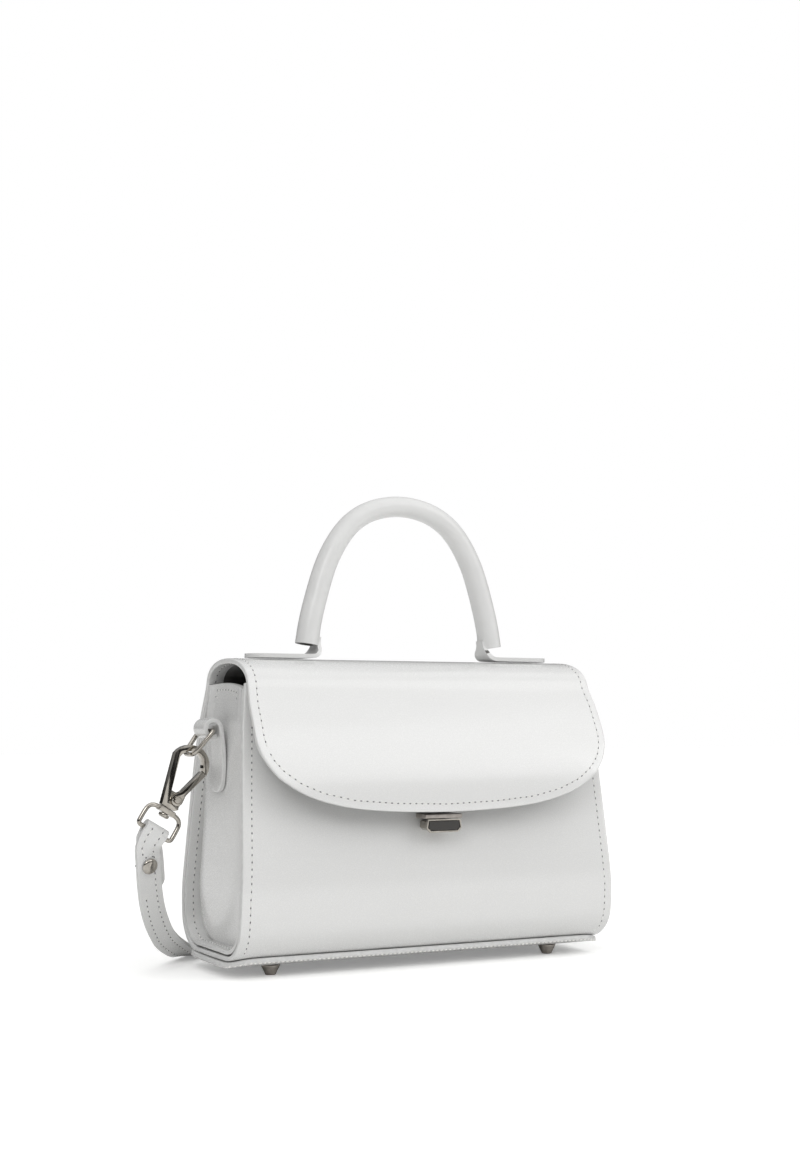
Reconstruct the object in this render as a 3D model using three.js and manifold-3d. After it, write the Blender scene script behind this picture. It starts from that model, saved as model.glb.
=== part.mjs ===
// A small structured handbag of polished leather: a stiff box with bulging gussets, a back
// panel that runs over the top as a full-width flap, a rolled top handle, four metal feet,
// a metal clasp, and a shoulder strap on two snap hooks that lies in one loop behind it.
// Lengths are millimetres, +Z is up, the flap faces -Y, and the floor is z = 0.
import * as THREE from 'three';
import { mergeVertices } from 'three/addons/utils/BufferGeometryUtils.js';
import Module from 'manifold-3d';

const wasm = await Module();
wasm.setup();

// Clearance between two pieces that touch on the real bag.
const gap = 0.3;

// The body: its ends at the shoulder and at the widest height, and the rounded underside.
const body = {
  shoulderHeight: 145.4,
  topWidth: 203.4,
  baseWidth: 217.4,
  topDepth: 56,
  baseDepth: 86.6,
  cornerRadius: 22,
};

// How the body widens and deepens from its shoulder down to its underside. rise is a share of
// the height from the underside to the shoulder; width and depth are 0 at the base, 1 on top.
const bodyTable = [
  { rise: 0.16, width: 0.00, depth: 0.00 },
  { rise: 0.23, width: 0.00, depth: 0.00 },
  { rise: 0.30, width: 0.10, depth: 0.03 },
  { rise: 0.41, width: 0.20, depth: 0.15 },
  { rise: 0.56, width: 0.31, depth: 0.34 },
  { rise: 0.67, width: 0.41, depth: 0.47 },
  { rise: 0.80, width: 0.56, depth: 0.65 },
  { rise: 0.87, width: 0.67, depth: 0.77 },
  { rise: 0.94, width: 0.83, depth: 0.91 },
  { rise: 1.00, width: 1.00, depth: 1.00 },
];

const panelWall = 2.6;
const frontTopHeight = body.shoulderHeight + 2;

const flap = {
  wall: 2.8,
  crownHeight: 15,
  crownBackPower: 2.45,
  crownFrontPower: 2.1,
  length: 64.4,
  ease: 1.2,
  lift: 22.1,
  flare: 1.2,
  cornerRise: 39,
};

// How far the flap stands out from the front as it hangs down, as shares of its length and lift.
const flapDropTable = [
  { drop: 0.000, lift: 0.000 },
  { drop: 0.085, lift: 0.150 },
  { drop: 0.270, lift: 0.443 },
  { drop: 0.394, lift: 0.615 },
  { drop: 0.519, lift: 0.751 },
  { drop: 0.643, lift: 0.887 },
  { drop: 0.800, lift: 0.984 },
  { drop: 1.000, lift: 1.000 },
];

// The flap's lower edge from its middle to its side, as shares of its half width and corner rise.
const flapEdgeTable = [
  { across: 0.000, rise: 0.000 },
  { across: 0.290, rise: 0.026 },
  { across: 0.515, rise: 0.077 },
  { across: 0.687, rise: 0.179 },
  { across: 0.807, rise: 0.308 },
  { across: 0.904, rise: 0.487 },
  { across: 0.960, rise: 0.660 },
  { across: 0.990, rise: 0.830 },
  { across: 1.000, rise: 1.000 },
];

const gusset = { wall: 2, seamGap: 0.9, flangeSetback: 0.6, faceInset: 2.5, facePower: 5 };

// How deep the gusset's seam lies inside the panel edges, as a share of the deepest inset.
const gussetInset = 9.8;
const gussetTable = [
  { rise: 0.00, inset: 1.00 },
  { rise: 0.22, inset: 1.00 },
  { rise: 0.40, inset: 0.88 },
  { rise: 0.57, inset: 0.75 },
  { rise: 0.75, inset: 0.45 },
  { rise: 0.87, inset: 0.20 },
  { rise: 1.00, inset: 0.08 },
];

// The gusset's free top edge above the shoulder, from its front corner to its back corner.
const gussetTopTable = [
  { across: -1.0, lift: -0.6 },
  { across: -0.5, lift: 1.6 },
  { across: 0.0, lift: 2.8 },
  { across: 0.5, lift: 3.0 },
  { across: 1.0, lift: 2.2 },
];

const sole = { wall: 2.7, width: 220, cornerRadius: 9, frontHeight: 12, backHeight: 14 };

const foot = { height: 5.2, topRadius: 5, bottomRadius: 3.3, spacingX: 164.8, spacingY: 34.6 };

const handle = {
  span: 112.4,
  endHeight: 168.3,
  topHeight: 245.1,
  wall: 2.4,
  legThickness: 12.8,
  topThickness: 11.8,
  legDepth: 14,
  topDepth: 13.4,
  tabReach: 90.9,
  tabWidth: 18,
  tabWall: 2.2,
  tabBend: 5,
};

// The handle's centre line from its end to its top, as shares of its half span and its rise.
const handleTable = [
  { out: 1.000, up: 0.00 },
  { out: 0.970, up: 0.145 },
  { out: 0.886, up: 0.381 },
  { out: 0.800, up: 0.572 },
  { out: 0.710, up: 0.700 },
  { out: 0.583, up: 0.830 },
  { out: 0.454, up: 0.909 },
  { out: 0.320, up: 0.958 },
  { out: 0.146, up: 0.991 },
  { out: 0.000, up: 1.000 },
];

const ringTab = {
  width: 16,
  wall: 2.4,
  bore: 3,
  bottomHeight: 91.5,
  leanHeight: 110,
  loopHeight: 124,
  loopOut: 8.8,
};

const ring = { wire: 2.6, drop: 15.4, taper: 3, corner: 4 };

const hook = {
  depth: 4.6,
  bossDepth: 2.6,
  bar: 3.2,
  headRadius: 10.3,
  headCentre: { across: -1.6, up: 24 },
  footWidth: 9,
  footSetback: 1.4,
  pivot: { across: 1.6, up: 5.6 },
  noseAngle: { outer: -1, inner: 8 },
  neckRadius: 1.6,
  neckLength: 5.2,
  capRadius: 2.9,
  capHeight: 1.6,
};

const gate = { bar: 3, cheek: 0.9, earRadius: 3.1 };

const pin = { radius: 1, headRadius: 2.1, headHeight: 0.8 };

const eye = {
  wire: 2.6,
  width: 22.6,
  height: 14,
  shoulder: 5,
  hubWidth: 9,
  hubHeight: 2.8,
};

const strap = {
  width: 12.6,
  wall: 2.6,
  returnLength: 34,
  returnSkew: 3.4,
  rivetDrop: 18,
  pinchDrop: 13,
  endRadius: 2.6,
  restHeight: 0.05,
};

// How the strap hangs from each swivel eye to the floor: aside is away from the eye's bar
// toward the bag, back is away from the flap, and fall is a share of the bar's height.
const leftFall = [
  { aside: 0, back: 0, fall: 0 },
  { aside: -3.8, back: 0.2, fall: 0.074 },
  { aside: -3.3, back: 2.2, fall: 0.147 },
  { aside: -2.1, back: 4, fall: 0.231 },
  { aside: -0.2, back: 8, fall: 0.348 },
  { aside: 5.2, back: 17, fall: 0.567 },
  { aside: 14.4, back: 28, fall: 0.77 },
  { aside: 23.8, back: 38, fall: 0.875 },
  { aside: 35.2, back: 49, fall: 0.959 },
  { aside: 47.4, back: 62, fall: 1 },
];

const rightFall = [
  { aside: 0, back: 0, fall: 0 },
  { aside: -0.5, back: 0.2, fall: 0.09 },
  { aside: -0.4, back: 1, fall: 0.19 },
  { aside: -0.3, back: 3, fall: 0.3 },
  { aside: -0.3, back: 8, fall: 0.45 },
  { aside: -0.6, back: 19, fall: 0.65 },
  { aside: -1, back: 32, fall: 0.82 },
  { aside: -1, back: 46, fall: 0.94 },
  { aside: 0, back: 64, fall: 1 },
];

// Where the strap lies on the floor behind the bag, from its left end to its right end.
const strapRoute = [
  { x: -72, y: 96 },
  { x: -54, y: 146 },
  { x: -32, y: 212 },
  { x: 2, y: 276 },
  { x: 52, y: 316 },
  { x: 108, y: 312 },
  { x: 148, y: 268 },
  { x: 156, y: 204 },
  { x: 143, y: 136 },
];

// Each end of the strap: the ring's tilt and the hook's lean from the vertical in degrees, and
// the way the strap's width points where it hangs free.
const leftSide = { tilt: 38, lean: 31, fall: leftFall, hang: new THREE.Vector3(0.983, 0.182, 0) };
const rightSide = { tilt: 23, lean: 6, fall: rightFall, hang: new THREE.Vector3(1, 0, 0) };

const rivet = { capRadius: 4.4, capHeight: 1.7, shankRadius: 1.4 };

const clasp = {
  width: 20.4,
  height: 6.8,
  underFlap: 10.2,
  chamfer: 2,
  setback: 0.9,
  plateDepth: 1.6,
  rim: 0.8,
  enamelDepth: 0.7,
  catchWidth: 21.6,
  catchHeight: 2.2,
};

// The flap's lowest edge and how far forward its inner face stands there.
const flapEdge = body.shoulderHeight - flap.length;
const flapBack = body.topDepth / 2 + gap + flap.ease + flap.lift;
const claspBottom = flapEdge - clasp.underFlap;
const claspFace = flapBack - clasp.setback;

const bodyBottom = foot.height + gap + sole.wall + gap;
const bodyRise = body.shoulderHeight - bodyBottom;

function lookUp(table, key, value, column) {
  let low = table[0];
  for (const row of table) {
    if (row[key] >= value) {
      const span = row[key] - low[key];
      const share = span > 0 ? (value - low[key]) / span : 0;
      return low[column] + (row[column] - low[column]) * Math.max(share, 0);
    }
    low = row;
  }
  return low[column];
}

function halfWidthAt(z) {
  const share = lookUp(bodyTable, 'rise', (z - bodyBottom) / bodyRise, 'width');
  return THREE.MathUtils.lerp(body.baseWidth, body.topWidth, share) / 2;
}

function signedVolume(geometry) {
  const place = geometry.attributes.position;
  const corner = [new THREE.Vector3(), new THREE.Vector3(), new THREE.Vector3()];
  let volume = 0;
  for (let i = 0; i < geometry.index.count; i += 3) {
    corner.forEach((point, k) => point.fromBufferAttribute(place, geometry.index.getX(i + k)));
    volume += corner[0].dot(corner[1].clone().cross(corner[2])) / 6;
  }
  return volume;
}

// A closed mesh from corners and triangles: shared corners are merged, empty triangles are
// dropped, and the faces are turned to point out.
function closedMesh(points, triangles) {
  const geometry = new THREE.BufferGeometry();
  geometry.setAttribute('position', new THREE.Float32BufferAttribute(points.flatMap((p) => p.toArray()), 3));
  geometry.setIndex(triangles.flat());
  const merged = mergeVertices(geometry, 1e-3);
  const kept = [];
  for (let i = 0; i < merged.index.count; i += 3) {
    const [a, b, c] = [0, 1, 2].map((k) => merged.index.getX(i + k));
    if (a !== b && b !== c && c !== a) kept.push(a, b, c);
  }
  merged.setIndex(kept);
  if (signedVolume(merged) < 0) merged.setIndex(kept.reverse());
  return merged;
}

function gridTriangles(rows, columns, start, closeRows, closeColumns) {
  const triangles = [];
  const lastRow = closeRows ? rows : rows - 1;
  const lastColumn = closeColumns ? columns : columns - 1;
  for (let i = 0; i < lastRow; i += 1) {
    for (let j = 0; j < lastColumn; j += 1) {
      const a = start + i * columns + j;
      const b = start + i * columns + ((j + 1) % columns);
      const c = start + ((i + 1) % rows) * columns + ((j + 1) % columns);
      const d = start + ((i + 1) % rows) * columns + j;
      triangles.push([a, b, c], [a, c, d]);
    }
  }
  return triangles;
}

// A wall between two grids of points of the same size, closed round its four edges. With
// ring set, the columns close on themselves, so the wall is a tube with a bore.
function wallBetween(outer, inner, ringed = false) {
  const rows = outer.length;
  const columns = outer[0].length;
  const points = [...outer.flat(), ...inner.flat()];
  const far = rows * columns;
  const triangles = gridTriangles(rows, columns, 0, false, ringed);
  for (const [a, b, c] of gridTriangles(rows, columns, far, false, ringed)) triangles.push([a, c, b]);
  const rim = (a, b) => triangles.push([b, a, a + far], [b, a + far, b + far]);
  const lastColumn = ringed ? columns : columns - 1;
  for (let j = 0; j < lastColumn; j += 1) {
    const next = (j + 1) % columns;
    rim(j, next);
    rim((rows - 1) * columns + next, (rows - 1) * columns + j);
  }
  for (let i = 0; i < rows - 1 && !ringed; i += 1) {
    rim((i + 1) * columns, i * columns);
    rim(i * columns + columns - 1, (i + 1) * columns + columns - 1);
  }
  return closedMesh(points, triangles);
}

// A solid through closed sections of the same number of points, with flat ends, or with no
// ends where the sections run round a loop.
function loft(sections, looped = false) {
  const columns = sections[0].length;
  const points = sections.flat();
  const triangles = gridTriangles(sections.length, columns, 0, looped, true);
  if (!looped) {
    const last = (sections.length - 1) * columns;
    for (let j = 1; j < columns - 1; j += 1) {
      triangles.push([0, j + 1, j], [last, last + j, last + j + 1]);
    }
  }
  return closedMesh(points, triangles);
}

function toSolid(geometry) {
  const bare = geometry.clone();
  bare.deleteAttribute('normal');
  bare.deleteAttribute('uv');
  const merged = mergeVertices(bare, 1e-4);
  return new wasm.Manifold(new wasm.Mesh({
    numProp: 3,
    vertProperties: new Float32Array(merged.attributes.position.array),
    triVerts: new Uint32Array(merged.index.array),
  }));
}

function fromSolid(solid) {
  const mesh = solid.getMesh();
  const geometry = new THREE.BufferGeometry();
  geometry.setAttribute('position', new THREE.BufferAttribute(mesh.vertProperties, 3));
  geometry.setIndex(new THREE.BufferAttribute(mesh.triVerts, 1));
  return geometry;
}

function mirrored(geometry) {
  const copy = geometry.clone();
  copy.applyMatrix4(new THREE.Matrix4().makeScale(-1, 1, 1));
  copy.setIndex(Array.from(copy.index.array).reverse());
  return copy;
}

// A round wire along points in a plane, closed on itself or open with flat ends.
function wire(points, across, radius, sides, looped) {
  const count = points.length;
  const sections = points.map((point, i) => {
    const before = points[looped ? (i + count - 1) % count : Math.max(i - 1, 0)];
    const after = points[looped ? (i + 1) % count : Math.min(i + 1, count - 1)];
    const along = after.clone().sub(before).normalize();
    const side = across.clone().cross(along).normalize();
    return Array.from({ length: sides }, (_, k) => {
      const angle = (2 * Math.PI * (k + 0.5)) / sides;
      return point.clone().addScaledVector(side, radius * Math.cos(angle))
        .addScaledVector(across, radius * Math.sin(angle));
    });
  });
  return loft(sections, looped);
}

// A flat band along stations, each with its centre, its width direction and its half width.
function band(stations, wall) {
  const sections = stations.map((station, i) => {
    const before = stations[Math.max(i - 1, 0)].centre;
    const after = stations[Math.min(i + 1, stations.length - 1)].centre;
    const along = after.clone().sub(before).normalize();
    const face = along.clone().cross(station.across).normalize();
    const across = face.clone().cross(along).normalize();
    const place = (u, v) => station.centre.clone().addScaledVector(across, u * station.half)
      .addScaledVector(face, v * wall / 2);
    return [place(-1, -1), place(1, -1), place(1, 1), place(-1, 1)];
  });
  return loft(sections);
}

// Half of the body's outline seen from the side: depth from the middle plane and height, from
// the flat underside round the lower corner and up to the shoulder.
function sideOutline() {
  const radius = body.cornerRadius;
  const baseHalf = body.baseDepth / 2;
  const centre = new THREE.Vector2(baseHalf - radius, bodyBottom + radius);
  const points = [];
  const cornerSteps = 6;
  for (let i = 0; i < cornerSteps; i += 1) {
    const angle = -Math.PI / 2 + (Math.PI / 2) * (i / cornerSteps);
    points.push(new THREE.Vector2(centre.x + radius * Math.cos(angle), centre.y + radius * Math.sin(angle)));
  }
  const wall = new THREE.SplineCurve(bodyTable.map((row) => new THREE.Vector2(
    THREE.MathUtils.lerp(baseHalf, body.topDepth / 2, row.depth),
    bodyBottom + bodyRise * row.rise,
  )));
  const wallSteps = 10;
  return points.concat(wall.getPoints(wallSteps).filter((p) => p.y > centre.y));
}

// A copy of an open outline moved sideways by a distance; positive is away from the middle.
function offsetOutline(points, distance) {
  return points.map((point, i) => {
    const before = points[Math.max(i - 1, 0)];
    const after = points[Math.min(i + 1, points.length - 1)];
    const along = after.clone().sub(before).normalize();
    const normal = i === 0 ? new THREE.Vector2(0, -1) : new THREE.Vector2(along.y, -along.x);
    return point.clone().addScaledVector(normal, distance);
  });
}

const outline = sideOutline();

// The whole line of the back panel and flap in side view: up the back, over the crown and down
// the front. Rows on the front hold their share of the flap's drop instead of a fixed place.
function wrapLine() {
  const line = outline.map((p) => ({ y: p.x, z: p.y }));
  const backHalf = body.topDepth / 2;
  const frontHalf = backHalf + gap + flap.ease + flap.wall;
  const middle = (backHalf - frontHalf) / 2;
  const half = (backHalf + frontHalf) / 2;
  const crownSteps = 11;
  for (let i = 1; i < crownSteps; i += 1) {
    const angle = Math.PI * (i / crownSteps);
    const power = 2 / (i < crownSteps / 2 ? flap.crownBackPower : flap.crownFrontPower);
    const out = Math.sign(Math.cos(angle)) * Math.abs(Math.cos(angle)) ** power;
    line.push({
      y: middle + half * out,
      z: body.shoulderHeight + flap.crownHeight * Math.sin(angle) ** power,
    });
  }
  for (const row of flapDropTable) line.push({ y: -frontHalf - flap.lift * row.lift, drop: row.drop });
  return line;
}

function offsetWrap(line, distance) {
  const flat = line.map((p) => new THREE.Vector2(p.y, p.z ?? body.shoulderHeight - flap.length * p.drop));
  return offsetOutline(flat, distance).map((p, i) => ({
    y: p.x,
    z: p.y,
    slip: line[i].drop === undefined ? 0 : p.y - flat[i].y,
    drop: line[i].drop,
  }));
}

function flapColumns() {
  const right = flapEdgeTable;
  const left = right.slice(1).reverse().map((row) => ({ across: -row.across, rise: row.rise }));
  return [...left, ...right];
}

function backAndFlap() {
  const columns = flapColumns();
  const rowsFor = (distance) => offsetWrap(wrapLine(), distance).map((p) => columns.map((column) => {
    const length = flap.length - flap.cornerRise * column.rise;
    const z = p.drop === undefined ? p.z : body.shoulderHeight - length * p.drop + p.slip;
    const reach = flap.lift * lookUp(flapDropTable, 'drop', (p.drop ?? 0) * length / flap.length, 'lift');
    const depth = p.drop === undefined ? p.y : p.y + flap.lift * lookUp(flapDropTable, 'drop', p.drop, 'lift') - reach;
    const over = flap.flare * Math.min(3 * (p.drop ?? 0), 1);
    const half = p.drop === undefined ? halfWidthAt(Math.min(z, body.shoulderHeight)) : body.topWidth / 2 + over;
    return new THREE.Vector3(column.across * half, depth, z);
  }));
  return wallBetween(rowsFor(0), rowsFor(-flap.wall));
}

function frontPanel() {
  const columns = [-1, -0.6, -0.2, 0.2, 0.6, 1];
  const top = new THREE.Vector2(body.topDepth / 2 - 1.4 * gap, frontTopHeight);
  const backEnd = new THREE.Vector2(-(outline[0].x - 1.2 * gap), bodyBottom);
  const line = [backEnd, ...outline, top];
  const rowsFor = (distance) => offsetOutline(line, distance).map((p) => columns.map((share) => (
    new THREE.Vector3(share * halfWidthAt(p.y), -p.x, p.y)
  )));
  return wallBetween(rowsFor(0), rowsFor(-panelWall));
}

// One end wall of the body with its flange turned outward along the panels, for the left end.
function gussetShell() {
  const shares = [-1, -0.95, -0.86, -0.7, -0.4, 0, 0.4, 0.7, 0.86, 0.95, 1];
  const surface = (inset, inward) => {
    const side = offsetOutline(outline, -inset);
    const face = side.map((p, row) => {
      const rise = Math.max((p.y - bodyBottom) / bodyRise, 0);
      const depth = gussetInset * lookUp(gussetTable, 'rise', rise, 'inset');
      const fill = 1 - (1 - Math.min(rise / 0.3, 1)) ** 2;
      const line = shares.map((share) => {
        const proud = (1 - Math.abs(share) ** gusset.facePower) * fill;
        const lift = row === side.length - 1 ? lookUp(gussetTopTable, 'across', share, 'lift') : 0;
        const sunk = THREE.MathUtils.lerp(depth, gusset.faceInset, proud);
        return new THREE.Vector3(-(halfWidthAt(p.y) - sunk) + inward, share * p.x, p.y + lift);
      });
      const edge = (end) => new THREE.Vector3(-(halfWidthAt(p.y) - gusset.flangeSetback), end.y, end.z);
      return [edge(line[0]), ...line, edge(line[line.length - 1])];
    });
    const under = face[0].map((p) => new THREE.Vector3(face[0][0].x, p.y, p.z));
    return [under, ...face];
  };
  const clear = panelWall + gusset.seamGap;
  return wallBetween(surface(clear + gusset.wall, 0), surface(clear, gusset.wall));
}

function soleShell() {
  const reach = (side, limit) => offsetOutline(outline, gap).filter((p) => p.y < limit).map((p) => (
    new THREE.Vector2(side * p.x, p.y)
  ));
  const inner = [...reach(-1, sole.frontHeight).reverse(), ...reach(1, sole.backHeight)];
  const columns = 9;
  const lengths = [0];
  for (let i = 1; i < inner.length; i += 1) lengths.push(lengths[i - 1] + inner[i].distanceTo(inner[i - 1]));
  const total = lengths[inner.length - 1];
  const rowsFor = (distance) => inner.map((p, i) => {
    const before = inner[Math.max(i - 1, 0)];
    const after = inner[Math.min(i + 1, inner.length - 1)];
    const along = after.clone().sub(before).normalize();
    const place = p.clone().add(new THREE.Vector2(along.y, -along.x).multiplyScalar(distance));
    const edge = Math.min(Math.min(lengths[i], total - lengths[i]), sole.cornerRadius);
    const cut = sole.cornerRadius - Math.sqrt(sole.cornerRadius ** 2 - (sole.cornerRadius - edge) ** 2);
    return Array.from({ length: columns }, (_, k) => {
      const share = (2 * k) / (columns - 1) - 1;
      return new THREE.Vector3(share * (sole.width / 2 - cut), place.x, place.y);
    });
  });
  return wallBetween(rowsFor(sole.wall), rowsFor(0));
}

function footSolid() {
  const profile = [
    new THREE.Vector2(0, 0),
    new THREE.Vector2(foot.bottomRadius - 0.5, 0),
    new THREE.Vector2(foot.bottomRadius, 0.5),
    new THREE.Vector2(foot.topRadius, foot.height - 0.6),
    new THREE.Vector2(foot.topRadius, foot.height),
    new THREE.Vector2(0, foot.height),
  ];
  return new THREE.LatheGeometry(profile, 16).rotateX(Math.PI / 2);
}

const handlePlane = -(gap + flap.wall) / 2;

function handleTube() {
  const rise = handle.topHeight - handle.endHeight;
  const half = handleTable.map((row) => new THREE.Vector3(
    -row.out * handle.span / 2, handlePlane, handle.endHeight + row.up * rise));
  const other = half.slice(0, -1).reverse().map((p) => new THREE.Vector3(-p.x, p.y, p.z));
  const curve = new THREE.CatmullRomCurve3([...half, ...other]);
  const steps = 26;
  const sides = 12;
  const depthAxis = new THREE.Vector3(0, 1, 0);
  const rowsFor = (inset) => Array.from({ length: steps + 1 }, (_, i) => {
    const centre = curve.getPointAt(i / steps);
    const outward = curve.getTangentAt(i / steps).cross(depthAxis).normalize();
    const share = THREE.MathUtils.clamp((centre.z - handle.endHeight) / rise, 0, 1);
    const thick = THREE.MathUtils.lerp(handle.legThickness, handle.topThickness, share) / 2 - inset;
    const deep = THREE.MathUtils.lerp(handle.legDepth, handle.topDepth, share) / 2 - inset;
    return Array.from({ length: sides }, (_, k) => {
      const angle = (2 * Math.PI * k) / sides;
      return centre.clone().addScaledVector(outward, thick * Math.cos(angle))
        .addScaledVector(depthAxis, deep * Math.sin(angle));
    });
  });
  return wallBetween(rowsFor(0), rowsFor(handle.wall), true);
}

// The leather that runs on from the inner side of a handle leg and folds out flat on the bag.
function handleTongue() {
  const start = -(handle.span - handle.legThickness + handle.wall) / 2;
  const flat = body.shoulderHeight + flap.crownHeight + gap + handle.tabWall / 2;
  const tip = handle.tabWidth / 2;
  const neck = handle.legDepth / 4;
  const overlap = 4;
  const stations = [];
  const add = (x, z, half) => stations.push({
    centre: new THREE.Vector3(x, handlePlane, z), across: new THREE.Vector3(0, 1, 0), half });
  add(start + 0.7, handle.endHeight + overlap, neck);
  add(start + 0.2, handle.endHeight + 1, neck);
  const bendSteps = 5;
  for (let i = 0; i <= bendSteps; i += 1) {
    const share = i / bendSteps;
    const angle = (Math.PI / 2) * share;
    const x = start - handle.tabBend * (1 - Math.cos(angle));
    const z = flat + handle.tabBend * (1 - Math.sin(angle));
    add(x, z, THREE.MathUtils.lerp(neck * 1.5, tip, Math.sqrt(share)));
  }
  add(-handle.tabReach + tip, flat, tip);
  const tipSteps = 5;
  for (let i = 1; i <= tipSteps; i += 1) {
    const angle = (Math.PI / 2) * (i / tipSteps) * 0.94;
    add(-handle.tabReach + tip * (1 - Math.sin(angle)), flat, tip * Math.cos(angle));
  }
  return band(stations, handle.tabWall);
}

function handleSolid() {
  const left = toSolid(handleTongue());
  const right = toSolid(mirrored(handleTongue()));
  return fromSolid(toSolid(handleTube()).add(left).add(right));
}

function gussetFaceAt(z) {
  return -(halfWidthAt(z) - gusset.faceInset);
}

const loopMean = ringTab.bore + ringTab.wall / 2;
const loopCentre = new THREE.Vector3(
  gussetFaceAt(ringTab.loopHeight) - ringTab.loopOut, 0, ringTab.loopHeight);

// A leather tab on the gusset whose top rolls outward round the ring's bar, for the left end.
function ringTabBand() {
  const stations = [];
  const across = new THREE.Vector3(0, 1, 0);
  const add = (x, z, half) => stations.push({ centre: new THREE.Vector3(x, 0, z), across, half });
  const half = ringTab.width / 2;
  const backFace = (z) => gussetFaceAt(z) - gap - ringTab.wall / 2;
  const round = 6;
  const roundSteps = 4;
  for (let i = 0; i <= roundSteps; i += 1) {
    const angle = (Math.PI / 2) * (i / roundSteps);
    const z = ringTab.bottomHeight + round * (1 - Math.cos(angle));
    add(backFace(z), z, half - round * (1 - Math.sin(angle)));
  }
  add(backFace(ringTab.leanHeight), ringTab.leanHeight, half);
  const loopSteps = 12;
  const loopTurn = THREE.MathUtils.degToRad(298);
  for (let i = 0; i <= loopSteps; i += 1) {
    const angle = loopTurn * (i / loopSteps);
    add(loopCentre.x + loopMean * Math.cos(angle), loopCentre.z + loopMean * Math.sin(angle), half);
  }
  return band(stations, ringTab.wall);
}

function ringFrame(side) {
  const angle = THREE.MathUtils.degToRad(side.tilt);
  const down = new THREE.Vector3(-Math.sin(angle), 0, -Math.cos(angle));
  const sag = ringTab.bore - ring.wire / 2 - 1.4 * gap;
  const top = loopCentre.clone().addScaledVector(down, sag);
  return { down, top, foot: top.clone().addScaledVector(down, ring.drop) };
}

// The ring's centre line in its own plane: a straight bar on top, two legs that draw in, and a
// straight foot with round corners.
function ringWire(side) {
  const halfTop = ringTab.width / 2 + gap * 3 + ring.wire / 2;
  const halfFoot = halfTop - ring.taper;
  const path = new THREE.Path();
  const corner = ring.corner;
  path.moveTo(-halfTop + corner / 2, 0);
  path.lineTo(halfTop - corner / 2, 0);
  path.quadraticCurveTo(halfTop, 0, halfTop, corner / 2);
  path.lineTo(halfFoot + ring.taper * 0.3, ring.drop - corner);
  path.quadraticCurveTo(halfFoot, ring.drop, halfFoot - corner, ring.drop);
  path.lineTo(-halfFoot + corner, ring.drop);
  path.quadraticCurveTo(-halfFoot, ring.drop, -halfFoot - ring.taper * 0.3, ring.drop - corner);
  path.lineTo(-halfTop, corner / 2);
  path.quadraticCurveTo(-halfTop, 0, -halfTop + corner / 2, 0);
  const flat = path.getPoints(4);
  flat.pop();
  const { down, top } = ringFrame(side);
  const across = new THREE.Vector3(0, 1, 0);
  const points = flat.map((p) => top.clone().addScaledVector(across, p.x).addScaledVector(down, p.y));
  return wire(points, down.clone().cross(across), ring.wire / 2, 8, true);
}

function plate(outlinePoints, depth) {
  const geometry = new THREE.ExtrudeGeometry(new THREE.Shape(outlinePoints), { depth, bevelEnabled: false });
  geometry.translate(0, 0, -depth / 2);
  return geometry;
}

function arcPoints(centre, radius, from, to, steps) {
  return Array.from({ length: steps + 1 }, (_, i) => {
    const angle = THREE.MathUtils.degToRad(THREE.MathUtils.lerp(from, to, i / steps));
    return new THREE.Vector2(centre.x + radius * Math.cos(angle), centre.y + radius * Math.sin(angle));
  });
}

const headCentre = new THREE.Vector2(hook.headCentre.across, hook.headCentre.up);
const pivot = new THREE.Vector2(hook.pivot.across, hook.pivot.up);
const headInner = hook.headRadius - hook.bar;

function onHead(radius, degrees) {
  const angle = THREE.MathUtils.degToRad(degrees);
  return headCentre.clone().add(new THREE.Vector2(Math.cos(angle), Math.sin(angle)).multiplyScalar(radius));
}

const noseEnd = onHead(hook.headRadius, hook.noseAngle.outer)
  .add(onHead(headInner, hook.noseAngle.inner)).multiplyScalar(0.5);

function pinBore(depth) {
  const sides = 12;
  const radius = (pin.radius + gap) / Math.cos(Math.PI / sides);
  return new THREE.CylinderGeometry(radius, radius, depth, sides).rotateX(Math.PI / 2);
}

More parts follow.
